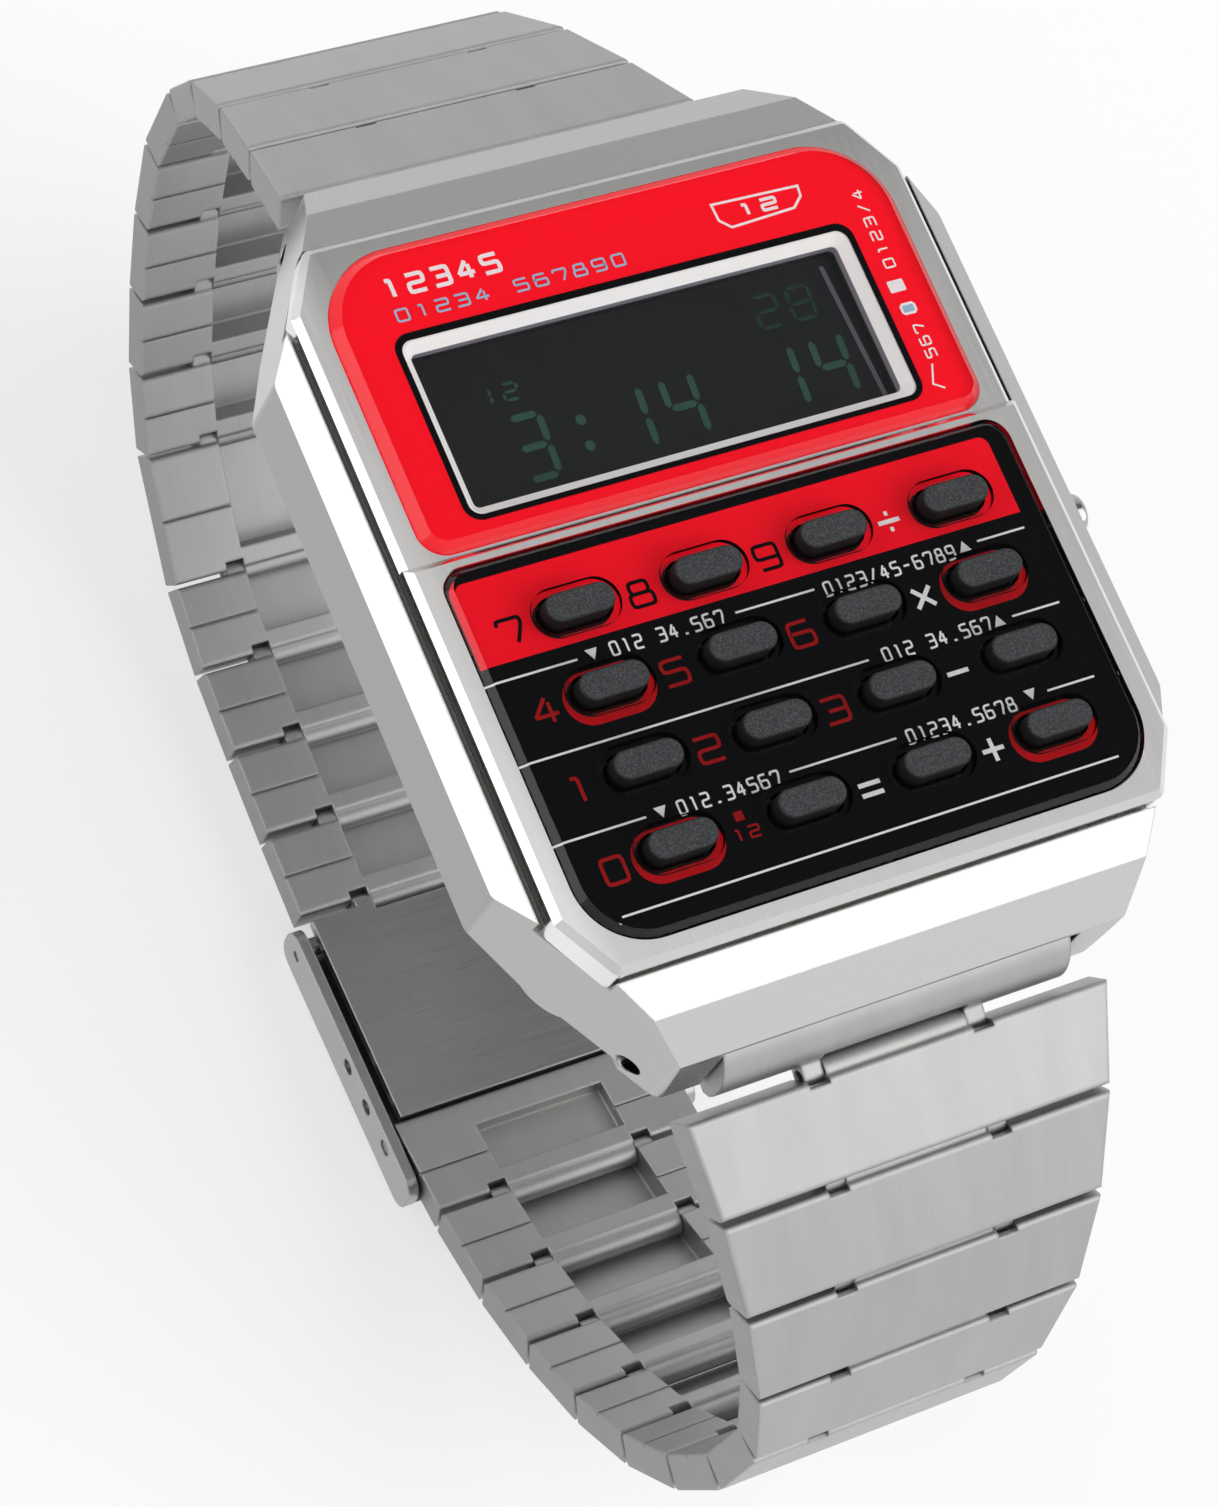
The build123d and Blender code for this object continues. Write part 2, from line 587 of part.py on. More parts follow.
def gasket_shape(grow, height):
    """Sealing ring round the open side of the case, as the ring or as its groove."""
    width, length = CAVITY_WIDTH + 2 * GASKET_INSET, CAVITY_LENGTH + 2 * GASKET_INSET
    radius = CAVITY_RADIUS + GASKET_INSET
    outer = RectangleRounded(width + 2 * GASKET_WIDTH + 2 * grow, length + 2 * GASKET_WIDTH + 2 * grow,
                             radius + GASKET_WIDTH + grow)
    inner = RectangleRounded(width - 2 * grow, length - 2 * grow, radius - grow)
    return prism_z(outer - inner, CASE_BOTTOM, CASE_BOTTOM + height)


def screw_places():
    x, y = BACK_WIDTH / 2 - SCREW_SIDE_INSET, BACK_LENGTH / 2 - SCREW_END_INSET
    return [(-x, -y), (-x, y), (x, -y), (x, y)]


def make_back_cover():
    """Back plate, with the sealing ring and the sounder disc that it carries."""
    bottom = CASE_BOTTOM - BACK_THICKNESS
    plate = prism_z(RectangleRounded(BACK_WIDTH, BACK_LENGTH, BACK_RADIUS), bottom, CASE_BOTTOM)
    plate = chamfer(plate.faces().sort_by(Axis.Z)[0].edges(), BACK_EDGE)
    for x, y in screw_places():
        plate -= rod_z(SCREW_SHANK / 2 + SCREW_GAP, bottom - OVERRUN, CASE_BOTTOM + OVERRUN, x, y)
        plate -= rod_z(SCREW_HEAD / 2 + SCREW_GAP, bottom - OVERRUN, bottom + SCREW_SUNK + SCREW_HEAD_HEIGHT, x, y)
    sounder = rod_z(BUZZER_DIAMETER / 2, CASE_BOTTOM, CASE_BOTTOM + BUZZER_THICKNESS, 0, BUZZER_CENTRE_Y)
    return Compound(children=[plate, gasket_shape(0, GASKET_HEIGHT), sounder])


def make_back_screws():
    head_bottom = CASE_BOTTOM - BACK_THICKNESS + SCREW_SUNK
    head_top = head_bottom + SCREW_HEAD_HEIGHT
    screws = []
    for x, y in screw_places():
        screw = rod_z(SCREW_HEAD / 2, head_bottom, head_top, x, y)
        screw += rod_z(SCREW_SHANK / 2, head_top, head_bottom + SCREW_LENGTH, x, y)
        for wide, deep in ((SCREW_HEAD, SCREW_SLOT), (SCREW_SLOT, SCREW_HEAD)):
            slot = block(x - wide / 2, x + wide / 2, y - deep / 2, y + deep / 2,
                         head_bottom - OVERRUN, head_bottom + SCREW_HEAD_HEIGHT / 2)
            screw -= slot & rod_z(SCREW_HEAD / 2 - SCREW_SLOT, head_bottom - OVERRUN, head_top, x, y)
        screws.append(screw)
    return Compound(children=screws)


def make_mode_button():
    tip = CASE_WIDTH / 2 + MODE_PROUD
    head = rod_x(MODE_HEAD / 2, tip - MODE_HEAD_LENGTH, tip)
    head = fillet(head.faces().sort_by(Axis.X)[-1].edges(), MODE_ROUNDING)
    stem = rod_x(MODE_STEM / 2, CAVITY_WIDTH / 2 + BUTTON_INNER_GAP, tip - MODE_HEAD_LENGTH)
    return Pos(0, MODE_BUTTON_Y, button_height()) * (head + stem)


def make_adjust_button():
    stem = rod_x(ADJUST_STEM / 2, CAVITY_WIDTH / 2 + BUTTON_INNER_GAP, CASE_WIDTH / 2 - ADJUST_SUNK)
    return Pos(0, ADJUST_BUTTON_Y, button_height()) * stem


# Bracelet: each link is made with its near hinge at the origin, Y along the chain and Z outwards
def link_width(edge):
    """Bracelet width at a link edge, counted from the lugs."""
    share = min(edge / TAPER_LINK_COUNT, 1)
    return BRACELET_WIDTH_LUG + (BRACELET_WIDTH_CLASP - BRACELET_WIDTH_LUG) * share


def ear_range():
    start = TONGUE_WIDTH / 2 + TONGUE_SIDE_GAP
    return start, start + EAR_WIDTH


def tongue(far):
    """Hinge leaf that reaches out of a link to the axis at its far end."""
    half = TONGUE_WIDTH / 2
    leaf = block(-half, half, far - TONGUE_WEB, far, -EYE_RADIUS, EYE_RADIUS)
    return leaf + rod_x(EYE_RADIUS, -half, half, far)


def ears(near_web):
    """Pair of hinge eyes at the near end."""
    start, end = ear_range()
    return both_sides(start, end, lambda x0, x1: (
        block(x0, x1, 0, near_web, -EYE_RADIUS, EYE_RADIUS) + rod_x(EYE_RADIUS, x0, x1)))


def hinge_pin():
    reach = ear_range()[1] - PIN_TONGUE_GAP
    return rod_x(PIN_RADIUS, -reach, reach)


def drawn_in_pin(far):
    """Pin of the strap's last hinge, pressed in to the width of its tongue."""
    return rod_x(PIN_RADIUS, -TONGUE_WIDTH / 2, TONGUE_WIDTH / 2, far)


def bore_ears(body):
    reach = ear_range()[1]
    return body - rod_x(PIN_RADIUS + PIN_EAR_GAP, -reach, reach)


def bore_tongue(body, far):
    return body - rod_x(PIN_RADIUS + PIN_TONGUE_GAP, -TONGUE_WIDTH / 2 - TONGUE_SIDE_GAP,
                        TONGUE_WIDTH / 2 + TONGUE_SIDE_GAP, far)


def link_shell(start, end, near_width, far_width, length, near_flare):
    """Rounded slab of one link, narrowing from its near to its far edge and longest at its outer face."""
    flare = (LINK_GAP - LINK_FACE_GAP) / 2
    near_face = start - flare if near_flare else start
    profile = Polygon((start, -LINK_INNER), (end, -LINK_INNER), (end + flare, LINK_OUTER), (near_face, LINK_OUTER),
                      align=None)
    profile = fillet([v for v in profile.vertices() if v.Y > 0], LINK_ROUND_OUTER)
    inner = [v for v in profile.vertices() if v.Y < LINK_ROUND_INNER - LINK_INNER]
    profile = fillet(inner, LINK_ROUND_INNER)
    slab = extrude(Plane.YZ * profile, amount=max(near_width, far_width), both=True)
    slope = (far_width - near_width) / 2 / length
    near, far = near_face - OVERRUN, end + flare + OVERRUN
    half_near, half_far = near_width / 2 + slope * near, near_width / 2 + slope * far
    plan = Polygon((-half_near, near), (half_near, near), (half_far, far), (-half_far, far), align=None)
    trim = prism_z(plan, -LINK_INNER - OVERRUN, LINK_OUTER)
    rims = [e for e in trim.faces().sort_by(Axis.Z)[-1].edges() if abs(e.center().X) > half_far / 2]
    return slab & fillet(rims, LINK_SIDE_ROUND)


def make_link(near_width, far_width, length, near_is_bar=False):
    """Folded-sheet link: hinge eyes and pin at its near end, tongue for the next link at its far end."""
    edge = LINK_GAP / 2
    start = -CLASP_EYE if near_is_bar else edge
    body = link_shell(start, length - edge, near_width, far_width, length, not near_is_bar)
    ear_start, ear_end = ear_range()
    under_sheet = LINK_OUTER - LINK_SHEET
    low = -LINK_INNER - OVERRUN
    if not near_is_bar:
        body -= block(-ear_start, ear_start, -OVERRUN, length - TONGUE_WEB, low, under_sheet)
    else:
        body -= block(-ear_start, ear_start, CLASP_EYE, length - TONGUE_WEB, low, 0)
    clear = EYE_RADIUS + EYE_GAP
    notch_end = ear_end + TONGUE_SIDE_GAP
    body -= both_sides(ear_start, notch_end, lambda x0, x1: (
        block(x0, x1, length - clear, length + OVERRUN, low, under_sheet)
        + block(x0, x1, length - EYE_NOTCH, length + OVERRUN, low, LINK_OUTER + OVERRUN)))
    seam = length / 2
    wide = max(near_width, far_width) / 2 + OVERRUN
    body -= both_sides(ear_start, wide, lambda x0, x1: block(x0, x1, seam - SEAM_WIDTH / 2, seam + SEAM_WIDTH / 2,
                                                             low, SEAM_DEPTH - LINK_INNER))
    body += tongue(length)
    body = bore_tongue(body, length)
    if near_is_bar:
        bar_reach = COVER_CHANNEL / 2 + COVER_WALL - CLASP_BAR_END_GAP
        body -= rod_x(CLASP_BAR + PIN_EAR_GAP, -bar_reach, bar_reach)
        return [body, rod_x(CLASP_BAR, -bar_reach, bar_reach)]
    body += ears(edge + LINK_ROUND_OUTER)
    return [bore_ears(body), hinge_pin()]


def end_link_body():
    """Solid piece between the lugs: its outer face is an arc about the spring bar, so it can turn under the case."""
    rim = []
    for turn in (END_LINK_ARC_START_DEG, END_LINK_ARC_END_DEG):
        angle = math.radians(turn)
        rim.append((END_LINK_RADIUS * math.cos(angle), END_LINK_RADIUS * math.sin(angle)))
    bar = BAR_DIAMETER / 2
    back = [(-END_LINK_BACK, bar), (-END_LINK_BACK, -bar), (-bar, -END_LINK_BACK), (0, -END_LINK_BACK),
            (rim[0][0] - LINK_ROUND_INNER, -LINK_INNER)]
    outline = RadiusArc(rim[0], rim[-1], -END_LINK_RADIUS) + Polyline(rim[-1], *back, rim[0])
    body = extrude(make_face(Plane.YZ * outline), amount=END_LINK_WIDTH / 2, both=True)
    return body - rod_x(bar + PIN_EAR_GAP, -END_LINK_WIDTH, END_LINK_WIDTH)


def end_link_bar():
    return rod_x(BAR_DIAMETER / 2, -BAR_LENGTH / 2, BAR_LENGTH / 2)


def make_upper_end_link():
    """End piece with the tongue that the first upper link hangs on."""
    body = end_link_body()
    length = END_LINK_LENGTH
    ear_start, ear_end = ear_range()
    clear = EYE_RADIUS + EYE_GAP
    low = -END_LINK_BACK - OVERRUN
    body -= both_sides(ear_start, ear_end + TONGUE_SIDE_GAP,
                       lambda x0, x1: block(x0, x1, length - clear, length + OVERRUN, low, clear))
    body += tongue(length)
    return [bore_tongue(body, length), end_link_bar()]


def make_lower_end_link():
    """End piece with a pair of eyes; its middle is flat, so the tongue between the eyes can leave."""
    body = end_link_body()
    length = END_LINK_LENGTH
    ear_start, ear_end = ear_range()
    body -= block(-ear_start, ear_start, length - EYE_RADIUS - EYE_GAP, length + OVERRUN,
                  -END_LINK_RADIUS, END_LINK_RADIUS)
    body += both_sides(ear_start, ear_end, lambda x0, x1: (
        block(x0, x1, length - TONGUE_WEB, length, -END_EYE_RADIUS, END_EYE_RADIUS)
        + rod_x(END_EYE_RADIUS, x0, x1, length)))
    body -= rod_x(PIN_RADIUS + PIN_EAR_GAP, -ear_end, ear_end, length)
    return [body, end_link_bar()]


# Clasp: made with the strap's last hinge at the origin
def fold_pivot():
    return CLASP_SPAN - FOLD_INSET


def make_inner_blade():
    """Blade next to the wrist, hinged to the last upper link and to the middle blade."""
    half = BLADE_WIDTH / 2
    top = BLADE_THICKNESS - BLADE_DROP
    end = CLASP_SPAN - BLADE_END_GAP
    blade = block(-half, half, BLADE_START, end, -BLADE_DROP, top)
    ear_start, ear_end = ear_range()
    clear = EYE_RADIUS + EYE_GAP
    blade -= block(-ear_start, ear_start, 0, clear + EYE_GAP, -BLADE_DROP - OVERRUN, top + OVERRUN)
    blade += both_sides(ear_start, ear_end, lambda x0, x1: (block(x0, x1, 0, clear, -BLADE_DROP, 0)
                                                            + rod_x(EYE_RADIUS, x0, x1)))
    side_start = MIDDLE_NECK / 2 + MIDDLE_NECK_GAP
    side_end = MIDDLE_WIDTH / 2
    pivot = fold_pivot()
    blade += both_sides(side_start, side_end, lambda x0, x1: (
        rod_x(KNUCKLE_RADIUS, x0, x1, pivot, KNUCKLE_RISE)
        + block(x0, x1, pivot - KNUCKLE_RADIUS / 2, pivot + KNUCKLE_RADIUS / 2, -BLADE_DROP, KNUCKLE_RISE)))
    blade -= rod_x(CLASP_PIN + PIN_EAR_GAP, -half, half, pivot, KNUCKLE_RISE)
    blade = bore_ears(blade)
    fold_pin = rod_x(CLASP_PIN, -side_end + CLASP_PIN_GAP, side_end - CLASP_PIN_GAP, pivot, KNUCKLE_RISE)
    return [blade, hinge_pin(), fold_pin]


def make_middle_blade():
    """Folding blade between the inner blade and the cover."""
    pivot = fold_pivot()
    half, neck = MIDDLE_WIDTH / 2, MIDDLE_NECK / 2
    low = KNUCKLE_RISE - MIDDLE_THICKNESS / 2
    high = KNUCKLE_RISE + MIDDLE_THICKNESS / 2
    clear = KNUCKLE_RADIUS + MIDDLE_NECK_GAP
    blade = block(-half, half, COVER_PIVOT, pivot - clear, low, high)
    blade += block(-neck, neck, COVER_PIVOT, pivot, low, high)
    blade += rod_x(KNUCKLE_RADIUS, -neck, neck, pivot, KNUCKLE_RISE)
    blade += rod_x(KNUCKLE_RADIUS, -half, half, COVER_PIVOT, KNUCKLE_RISE)
    blade -= rod_x(CLASP_PIN + CLASP_PIN_GAP, -neck - OVERRUN, neck + OVERRUN, pivot, KNUCKLE_RISE)
    blade -= rod_x(CLASP_PIN + PIN_EAR_GAP, -half - OVERRUN, half + OVERRUN, COVER_PIVOT, KNUCKLE_RISE)
    reach = COVER_CHANNEL / 2 + COVER_WALL - CLASP_BAR_END_GAP
    return [blade, rod_x(CLASP_PIN, -reach, reach, COVER_PIVOT, KNUCKLE_RISE)]


def make_clasp_cover():
    """Channel-shaped cover whose side walls hold the spring bar of the lower strap."""
    end = CLASP_SPAN + COVER_END
    outer = COVER_CHANNEL / 2 + COVER_WALL
    top = COVER_INNER + COVER_PLATE
    side = Polygon((COVER_START, -COVER_LIP), (end, -COVER_LIP), (end, top), (COVER_START, top), align=None)
    side = fillet(side.vertices(), COVER_ROUND)
    shell = extrude(Plane.YZ * side, amount=outer, both=True)
    shell -= centred_block(COVER_CHANNEL, COVER_START - OVERRUN, end + OVERRUN, -COVER_LIP - OVERRUN, COVER_INNER)
    hole = CLASP_PIN + CLASP_PIN_GAP
    shell -= rod_x(hole, -outer - OVERRUN, outer + OVERRUN, COVER_PIVOT, KNUCKLE_RISE)
    bar_hole = CLASP_BAR + CLASP_BAR_GAP
    for y in (CLASP_SPAN, CLASP_SPAN - ADJUST_HOLE_PITCH, CLASP_SPAN - 2 * ADJUST_HOLE_PITCH):
        shell -= rod_x(bar_hole, -outer - OVERRUN, outer + OVERRUN, y)
    return [shell]


# The worn loop
def chain_lengths():
    upper = [LINK_PITCH * (LONG_LINK_SHARE if k == LONG_LINK_COUNT else 1) for k in range(1, UPPER_LINK_COUNT + 1)]
    return [END_LINK_LENGTH] + upper + [CLASP_SPAN] + [LINK_PITCH] * LOWER_LINK_COUNT + [END_LINK_LENGTH]


def chain_points(headings):
    """Hinge points of the chain, from the upper spring bar on."""
    y, z = BAR_Y, BAR_Z
    points = [(y, z)]
    for length, heading in zip(chain_lengths(), headings):
        y += length * math.cos(math.radians(heading))
        z += length * math.sin(math.radians(heading))
        points.append((y, z))
    return points


def closed_headings():
    """Worn headings, bent a little more or less along the chain until its last hinge meets the lower spring bar."""
    upper = [UPPER_HEADINGS_DEG[min(k, len(UPPER_HEADINGS_DEG) - 1)] for k in range(UPPER_LINK_COUNT)]
    lower = [LOWER_HEADINGS_DEG[max(len(LOWER_HEADINGS_DEG) - LOWER_LINK_COUNT + k, 0)] for k in range(LOWER_LINK_COUNT)]
    base = [UPPER_END_HEADING_DEG] + upper + [CLASP_HEADING_DEG] + lower + [LOWER_END_HEADING_DEG]
    last = len(base) - 1
    rise = [math.sin(math.pi * k / last) for k in range(last + 1)]
    sway = [math.sin(2 * math.pi * k / last) for k in range(last + 1)]
    a, b, probe = 0.0, 0.0, 0.01

    def miss(a, b):
        y, z = chain_points([h + a * r + b * s for h, r, s in zip(base, rise, sway)])[-1]
        return y + BAR_Y, z - BAR_Z

    rounds = 30
    for _ in range(rounds):
        y0, z0 = miss(a, b)
        ya, za = miss(a + probe, b)
        yb, zb = miss(a, b + probe)
        m11, m12, m21, m22 = (ya - y0) / probe, (yb - y0) / probe, (za - z0) / probe, (zb - z0) / probe
        det = m11 * m22 - m12 * m21
        a -= (m22 * y0 - m12 * z0) / det
        b -= (m11 * z0 - m21 * y0) / det
    return [h + a * r + b * s for h, r, s in zip(base, rise, sway)]


def place(solids, point, heading):
    """Sets pieces made at the origin on a hinge of the loop."""
    return Compound(children=[Pos(0, point[0], point[1]) * Rot(heading, 0, 0) * s for s in solids])


def chain_names():
    upper = ["upper_link_%02d" % k for k in range(1, UPPER_LINK_COUNT + 1)]
    lower = ["lower_link_%02d" % k for k in range(LOWER_LINK_COUNT, 0, -1)]
    return ["upper_end_link"] + upper + ["clasp_inner_blade"] + lower + ["lower_end_link"]


def make_bracelet():
    headings = closed_headings()
    points = chain_points(headings)
    names = chain_names()
    lengths = chain_lengths()
    nodes = {}
    for k, name in enumerate(names):
        if name == "upper_end_link":
            nodes[name] = place(make_upper_end_link(), points[k], headings[k])
        elif name == "lower_end_link":
            turned = [Rot(0, 0, 180) * s for s in make_lower_end_link()]
            nodes[name] = place(turned, points[k + 1], headings[k])
        elif name == "clasp_inner_blade":
            for piece, solids in (("clasp_inner_blade", make_inner_blade()), ("clasp_middle_blade", make_middle_blade()),
                                  ("clasp_cover", make_clasp_cover())):
                nodes[piece] = place(solids, points[k], headings[k])
        elif name.startswith("upper_link"):
            nodes[name] = place(make_link(link_width(k - 1), link_width(k), lengths[k]), points[k], headings[k])
        else:
            edge = len(names) - 1 - k
            link = make_link(link_width(edge), link_width(edge - 1), lengths[k], near_is_bar=edge == LOWER_LINK_COUNT)
            if name == "lower_link_01":
                link.append(drawn_in_pin(lengths[k]))
            nodes[name] = place(link, points[k], headings[k])
    return nodes


def all_nodes():
    nodes = {"case": make_case(), "bezel": make_bezel(), "display_glass": make_display_glass(),
             "keypad_panel": make_keypad_panel(), "key_membrane": make_key_membrane(),
             "lcd_panel": make_lcd_panel(), "module_frame": make_module_frame(),
             "circuit_board": make_circuit_board(), "battery": make_battery(), "back_cover": make_back_cover(),
             "back_screws": make_back_screws(), "mode_button": make_mode_button(),
             "adjust_button": make_adjust_button()}
    key = make_key()
    labels = ["7", "8", "9", "divide", "4", "5", "6", "times", "1", "2", "3", "minus", "0", "point", "equals", "plus"]
    for (x, y), label in zip(key_places(), labels):
        nodes["key_" + label] = Pos(x, y, 0) * key
    nodes.update(make_bracelet())
    return nodes


def main():
    os.makedirs("parts", exist_ok=True)
    for name, shape in all_nodes().items():
        export_step(shape, "parts/" + name + ".step")
    headings = closed_headings()
    for name, point, heading in zip(chain_names(), chain_points(headings), headings):
        print(name, round(point[0], 3), round(point[1], 3), round(heading, 2))


if __name__ == "__main__":
    main()
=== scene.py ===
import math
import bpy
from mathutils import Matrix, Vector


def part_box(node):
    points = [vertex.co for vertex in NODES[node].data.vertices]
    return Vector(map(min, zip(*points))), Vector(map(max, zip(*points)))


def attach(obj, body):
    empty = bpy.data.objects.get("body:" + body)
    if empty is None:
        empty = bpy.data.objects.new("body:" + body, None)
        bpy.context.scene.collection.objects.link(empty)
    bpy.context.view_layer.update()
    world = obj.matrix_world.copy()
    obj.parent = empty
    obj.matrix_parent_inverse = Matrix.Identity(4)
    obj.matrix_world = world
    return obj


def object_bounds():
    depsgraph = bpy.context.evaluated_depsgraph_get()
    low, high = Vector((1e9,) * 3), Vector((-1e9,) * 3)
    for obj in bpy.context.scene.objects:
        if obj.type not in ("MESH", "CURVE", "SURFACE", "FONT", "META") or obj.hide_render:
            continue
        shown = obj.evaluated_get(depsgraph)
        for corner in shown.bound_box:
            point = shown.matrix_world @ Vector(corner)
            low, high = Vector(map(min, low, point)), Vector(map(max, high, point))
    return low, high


bl_info = {
    "name": "Calculator watch",
    "version": (1, 0, 0),
    "blender": (4, 5, 0),
    "location": "View3D > Sidebar > Watch",
    "description": "Dresses a calculator watch in steel, print and display figures",
    "category": "Object",
}

import bmesh
import bpy
from mathutils import Matrix, Vector

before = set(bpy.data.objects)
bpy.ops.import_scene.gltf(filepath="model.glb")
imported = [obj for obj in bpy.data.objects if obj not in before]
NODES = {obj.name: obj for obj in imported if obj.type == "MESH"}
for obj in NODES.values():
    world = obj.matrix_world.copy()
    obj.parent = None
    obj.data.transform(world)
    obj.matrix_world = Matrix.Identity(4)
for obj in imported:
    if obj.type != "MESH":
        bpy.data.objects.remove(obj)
CAD_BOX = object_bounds()

# Sizes in this file are millimetres, where nothing else is said.
MM = 0.001
CASE_BODY = "watch_case"
X_AXIS, Y_AXIS = 0, 1


def box_in_mm(node):
    """Lowest and highest corner of a CAD node at rest."""
    return [[value / MM for value in corner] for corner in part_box(node)]


GLASS_BOX = box_in_mm("display_glass")
PANEL_BOX = box_in_mm("keypad_panel")
CELL_FACE = 5.3  # height of the display cell's face

PRINT_INSET = 0.03  # from a plate's edge to the edge of its print
LAYER_STEP = 0.03  # from a plate's underside to the first layer of print, and on to the next
GROUND_THICKNESS = 0.02
MARK_THICKNESS = 0.015
BAR_THICKNESS = 0.02


def screen_colour(red, green, blue):
    """A colour picked on screen, 0 to 255, as the linear numbers that Blender works with."""

    def one(level):
        level /= 255
        return level / 12.92 if level <= 0.04045 else ((level + 0.055) / 1.055) ** 2.4

    return (one(red), one(green), one(blue))


def new_object(name, data):
    thing = bpy.data.objects.new(name, data)
    bpy.context.scene.collection.objects.link(thing)
    return thing


def plain_mesh(thing):
    """The mesh that an object's curve or modifiers make."""
    bpy.context.view_layer.update()
    shaped = thing.evaluated_get(bpy.context.evaluated_depsgraph_get())
    return bpy.data.meshes.new_from_object(shaped)


# ---------------- node trees


class Level:
    """A number in a node tree. Plain operators on it add the Math nodes."""

    def __init__(self, tree, socket):
        self.tree = tree
        self.socket = socket

    def maths(self, operation, first, second=None, clamp=False):
        node = self.tree.nodes.new("ShaderNodeMath")
        node.operation = operation
        node.use_clamp = clamp
        for socket, value in zip(node.inputs, (first, second)):
            if isinstance(value, Level):
                self.tree.links.new(value.socket, socket)
            elif value is not None:
                socket.default_value = value
        return Level(self.tree, node.outputs[0])

    def __add__(self, other):
        return self.maths("ADD", self, other)

    __radd__ = __add__

    def __sub__(self, other):
        return self.maths("SUBTRACT", self, other)

    def __rsub__(self, other):
        return self.maths("SUBTRACT", other, self)

    def __neg__(self):
        return 0 - self

    def __mul__(self, other):
        return self.maths("MULTIPLY", self, other)

    __rmul__ = __mul__

    def __truediv__(self, other):
        return self.maths("DIVIDE", self, other)

    def __rtruediv__(self, other):
        return self.maths("DIVIDE", other, self)

    def __abs__(self):
        return self.maths("ABSOLUTE", self)

    def larger(self, other):
        return self.maths("MAXIMUM", self, other)

    def above(self, low, high):
        """0 under low, 1 over high, and a straight ramp between."""
        return self.maths("MULTIPLY", self - low, 1 / (high - low), clamp=True)


class Nodes:
    """A node tree that is built node by node."""

    def __init__(self, tree):
        self.tree = tree

    def add(self, kind, settings=None, sockets=None, stops=()):
        """Adds one node: first its settings and a ramp's stops, then its sockets."""
        node = self.tree.nodes.new(kind)
        for name, value in (settings or {}).items():
            setattr(node, name, value)
        if stops:
            ramp = node.color_ramp.elements
            while len(ramp) < len(stops):
                ramp.new(0.5)
            for stop, (position, colour) in zip(ramp, stops):
                stop.position, stop.color = position, (*colour, 1)
        for name, value in (sockets or {}).items():
            self.feed(node.inputs[name], value)
        return node

    def feed(self, socket, value):
        """Links a socket to a level, a node or another socket, or sets it to a plain value."""
        if isinstance(value, Level):
            value = value.socket
        elif isinstance(value, bpy.types.Node):
            value = next(output for output in value.outputs if output.enabled)
        if isinstance(value, bpy.types.NodeSocket):
            self.tree.links.new(value, socket)
        elif socket.type == "RGBA" and len(value) == 3:
            socket.default_value = (*value, 1)
        else:
            socket.default_value = value

    def level(self, socket):
        return Level(self.tree, socket)

    def parts(self, output):
        """The x, y and z parts of one output of Texture Coordinate."""
        coordinates = self.add("ShaderNodeTexCoord")
        split = self.add("ShaderNodeSeparateXYZ", sockets={0: coordinates.outputs[output]})
        return [self.level(socket) for socket in split.outputs]


class Finish(Nodes):
    """A procedural material on Object coordinates, counted in millimetres."""

    def __init__(self, name, **constants):
        self.material = bpy.data.materials.new(name)
        self.material.use_nodes = True
        super().__init__(self.material.node_tree)
        self.tree.nodes.clear()
        self.shader = self.add("ShaderNodeBsdfPrincipled")
        self.out = self.add("ShaderNodeOutputMaterial", sockets={"Surface": self.shader})
        for socket, value in constants.items():
            self.set(socket.replace("_", " "), value)

    def set(self, socket, value):
        self.feed(self.shader.inputs[socket], value)

    def place(self):
        """x, y and z of the surface."""
        return [part * (1 / MM) for part in self.parts("Object")]

    def facing(self):
        """The three parts of the surface's own direction."""
        return self.parts("Normal")

    def noise(self, x, y, z, detail=2.0, roughness=0.5):
        point = self.add("ShaderNodeCombineXYZ", sockets={0: x, 1: y, 2: z})
        sockets = {"Vector": point, "Scale": 1.0, "Detail": detail, "Roughness": roughness}
        return self.level(self.add("ShaderNodeTexNoise", sockets=sockets).outputs[0])

    def grain(self, size, detail=2.0, roughness=0.5):
        """Noise with grains of one size, the same in all directions."""
        return self.noise(*[part / size for part in self.place()], detail, roughness)

    def blend(self, factor, first, second):
        """A colour that goes from first to second as factor goes from 0 to 1."""
        sockets = {0: factor, 6: first, 7: second}
        return self.add("ShaderNodeMix", {"data_type": "RGBA"}, sockets).outputs[2]

    def mix(self, factor, first, second):
        """A shader that goes from first to second as factor goes from 0 to 1."""
        return self.add("ShaderNodeMixShader", sockets={0: factor, 1: first, 2: second})

    def tint(self, mask, colour):
        """Lays a colour over the present base colour where mask is 1."""
        base = self.shader.inputs["Base Color"].links[0].from_socket
        self.set("Base Color", self.blend(mask, base, colour))

    def bump(self, height, depth, strength=1.0, rounding=0.0):
        """Raises the surface by height; rounding is the radius that edges get."""
        sockets = {"Strength": strength, "Distance": depth * MM, "Height": height}
        if rounding:
            radius = {"Radius": rounding * MM}
            sockets["Normal"] = self.add("ShaderNodeBevel", {"samples": 4}, radius)
        self.set("Normal", self.add("ShaderNodeBump", sockets=sockets))

    def cover(self, shader):
        """Shows another shader on the surface in place of the plain one."""
        self.feed(self.out.inputs["Surface"], shader)

    def wear(self, *names):
        """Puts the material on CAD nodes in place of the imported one."""
        for name in names:
            slots = NODES[name].data.materials
            slots.clear()
            slots.append(self.material)


# ---------------- finishes

STROKE_LENGTH = 6  # of one brushing stroke
CLOUD_SIZE = 5  # of the soft patches in brushed steel
ACRYLIC_IOR = 1.49


def shade(colour, factor):
    """A colour made darker or lighter."""
    return tuple(min(1.0, channel * factor) for channel in colour)


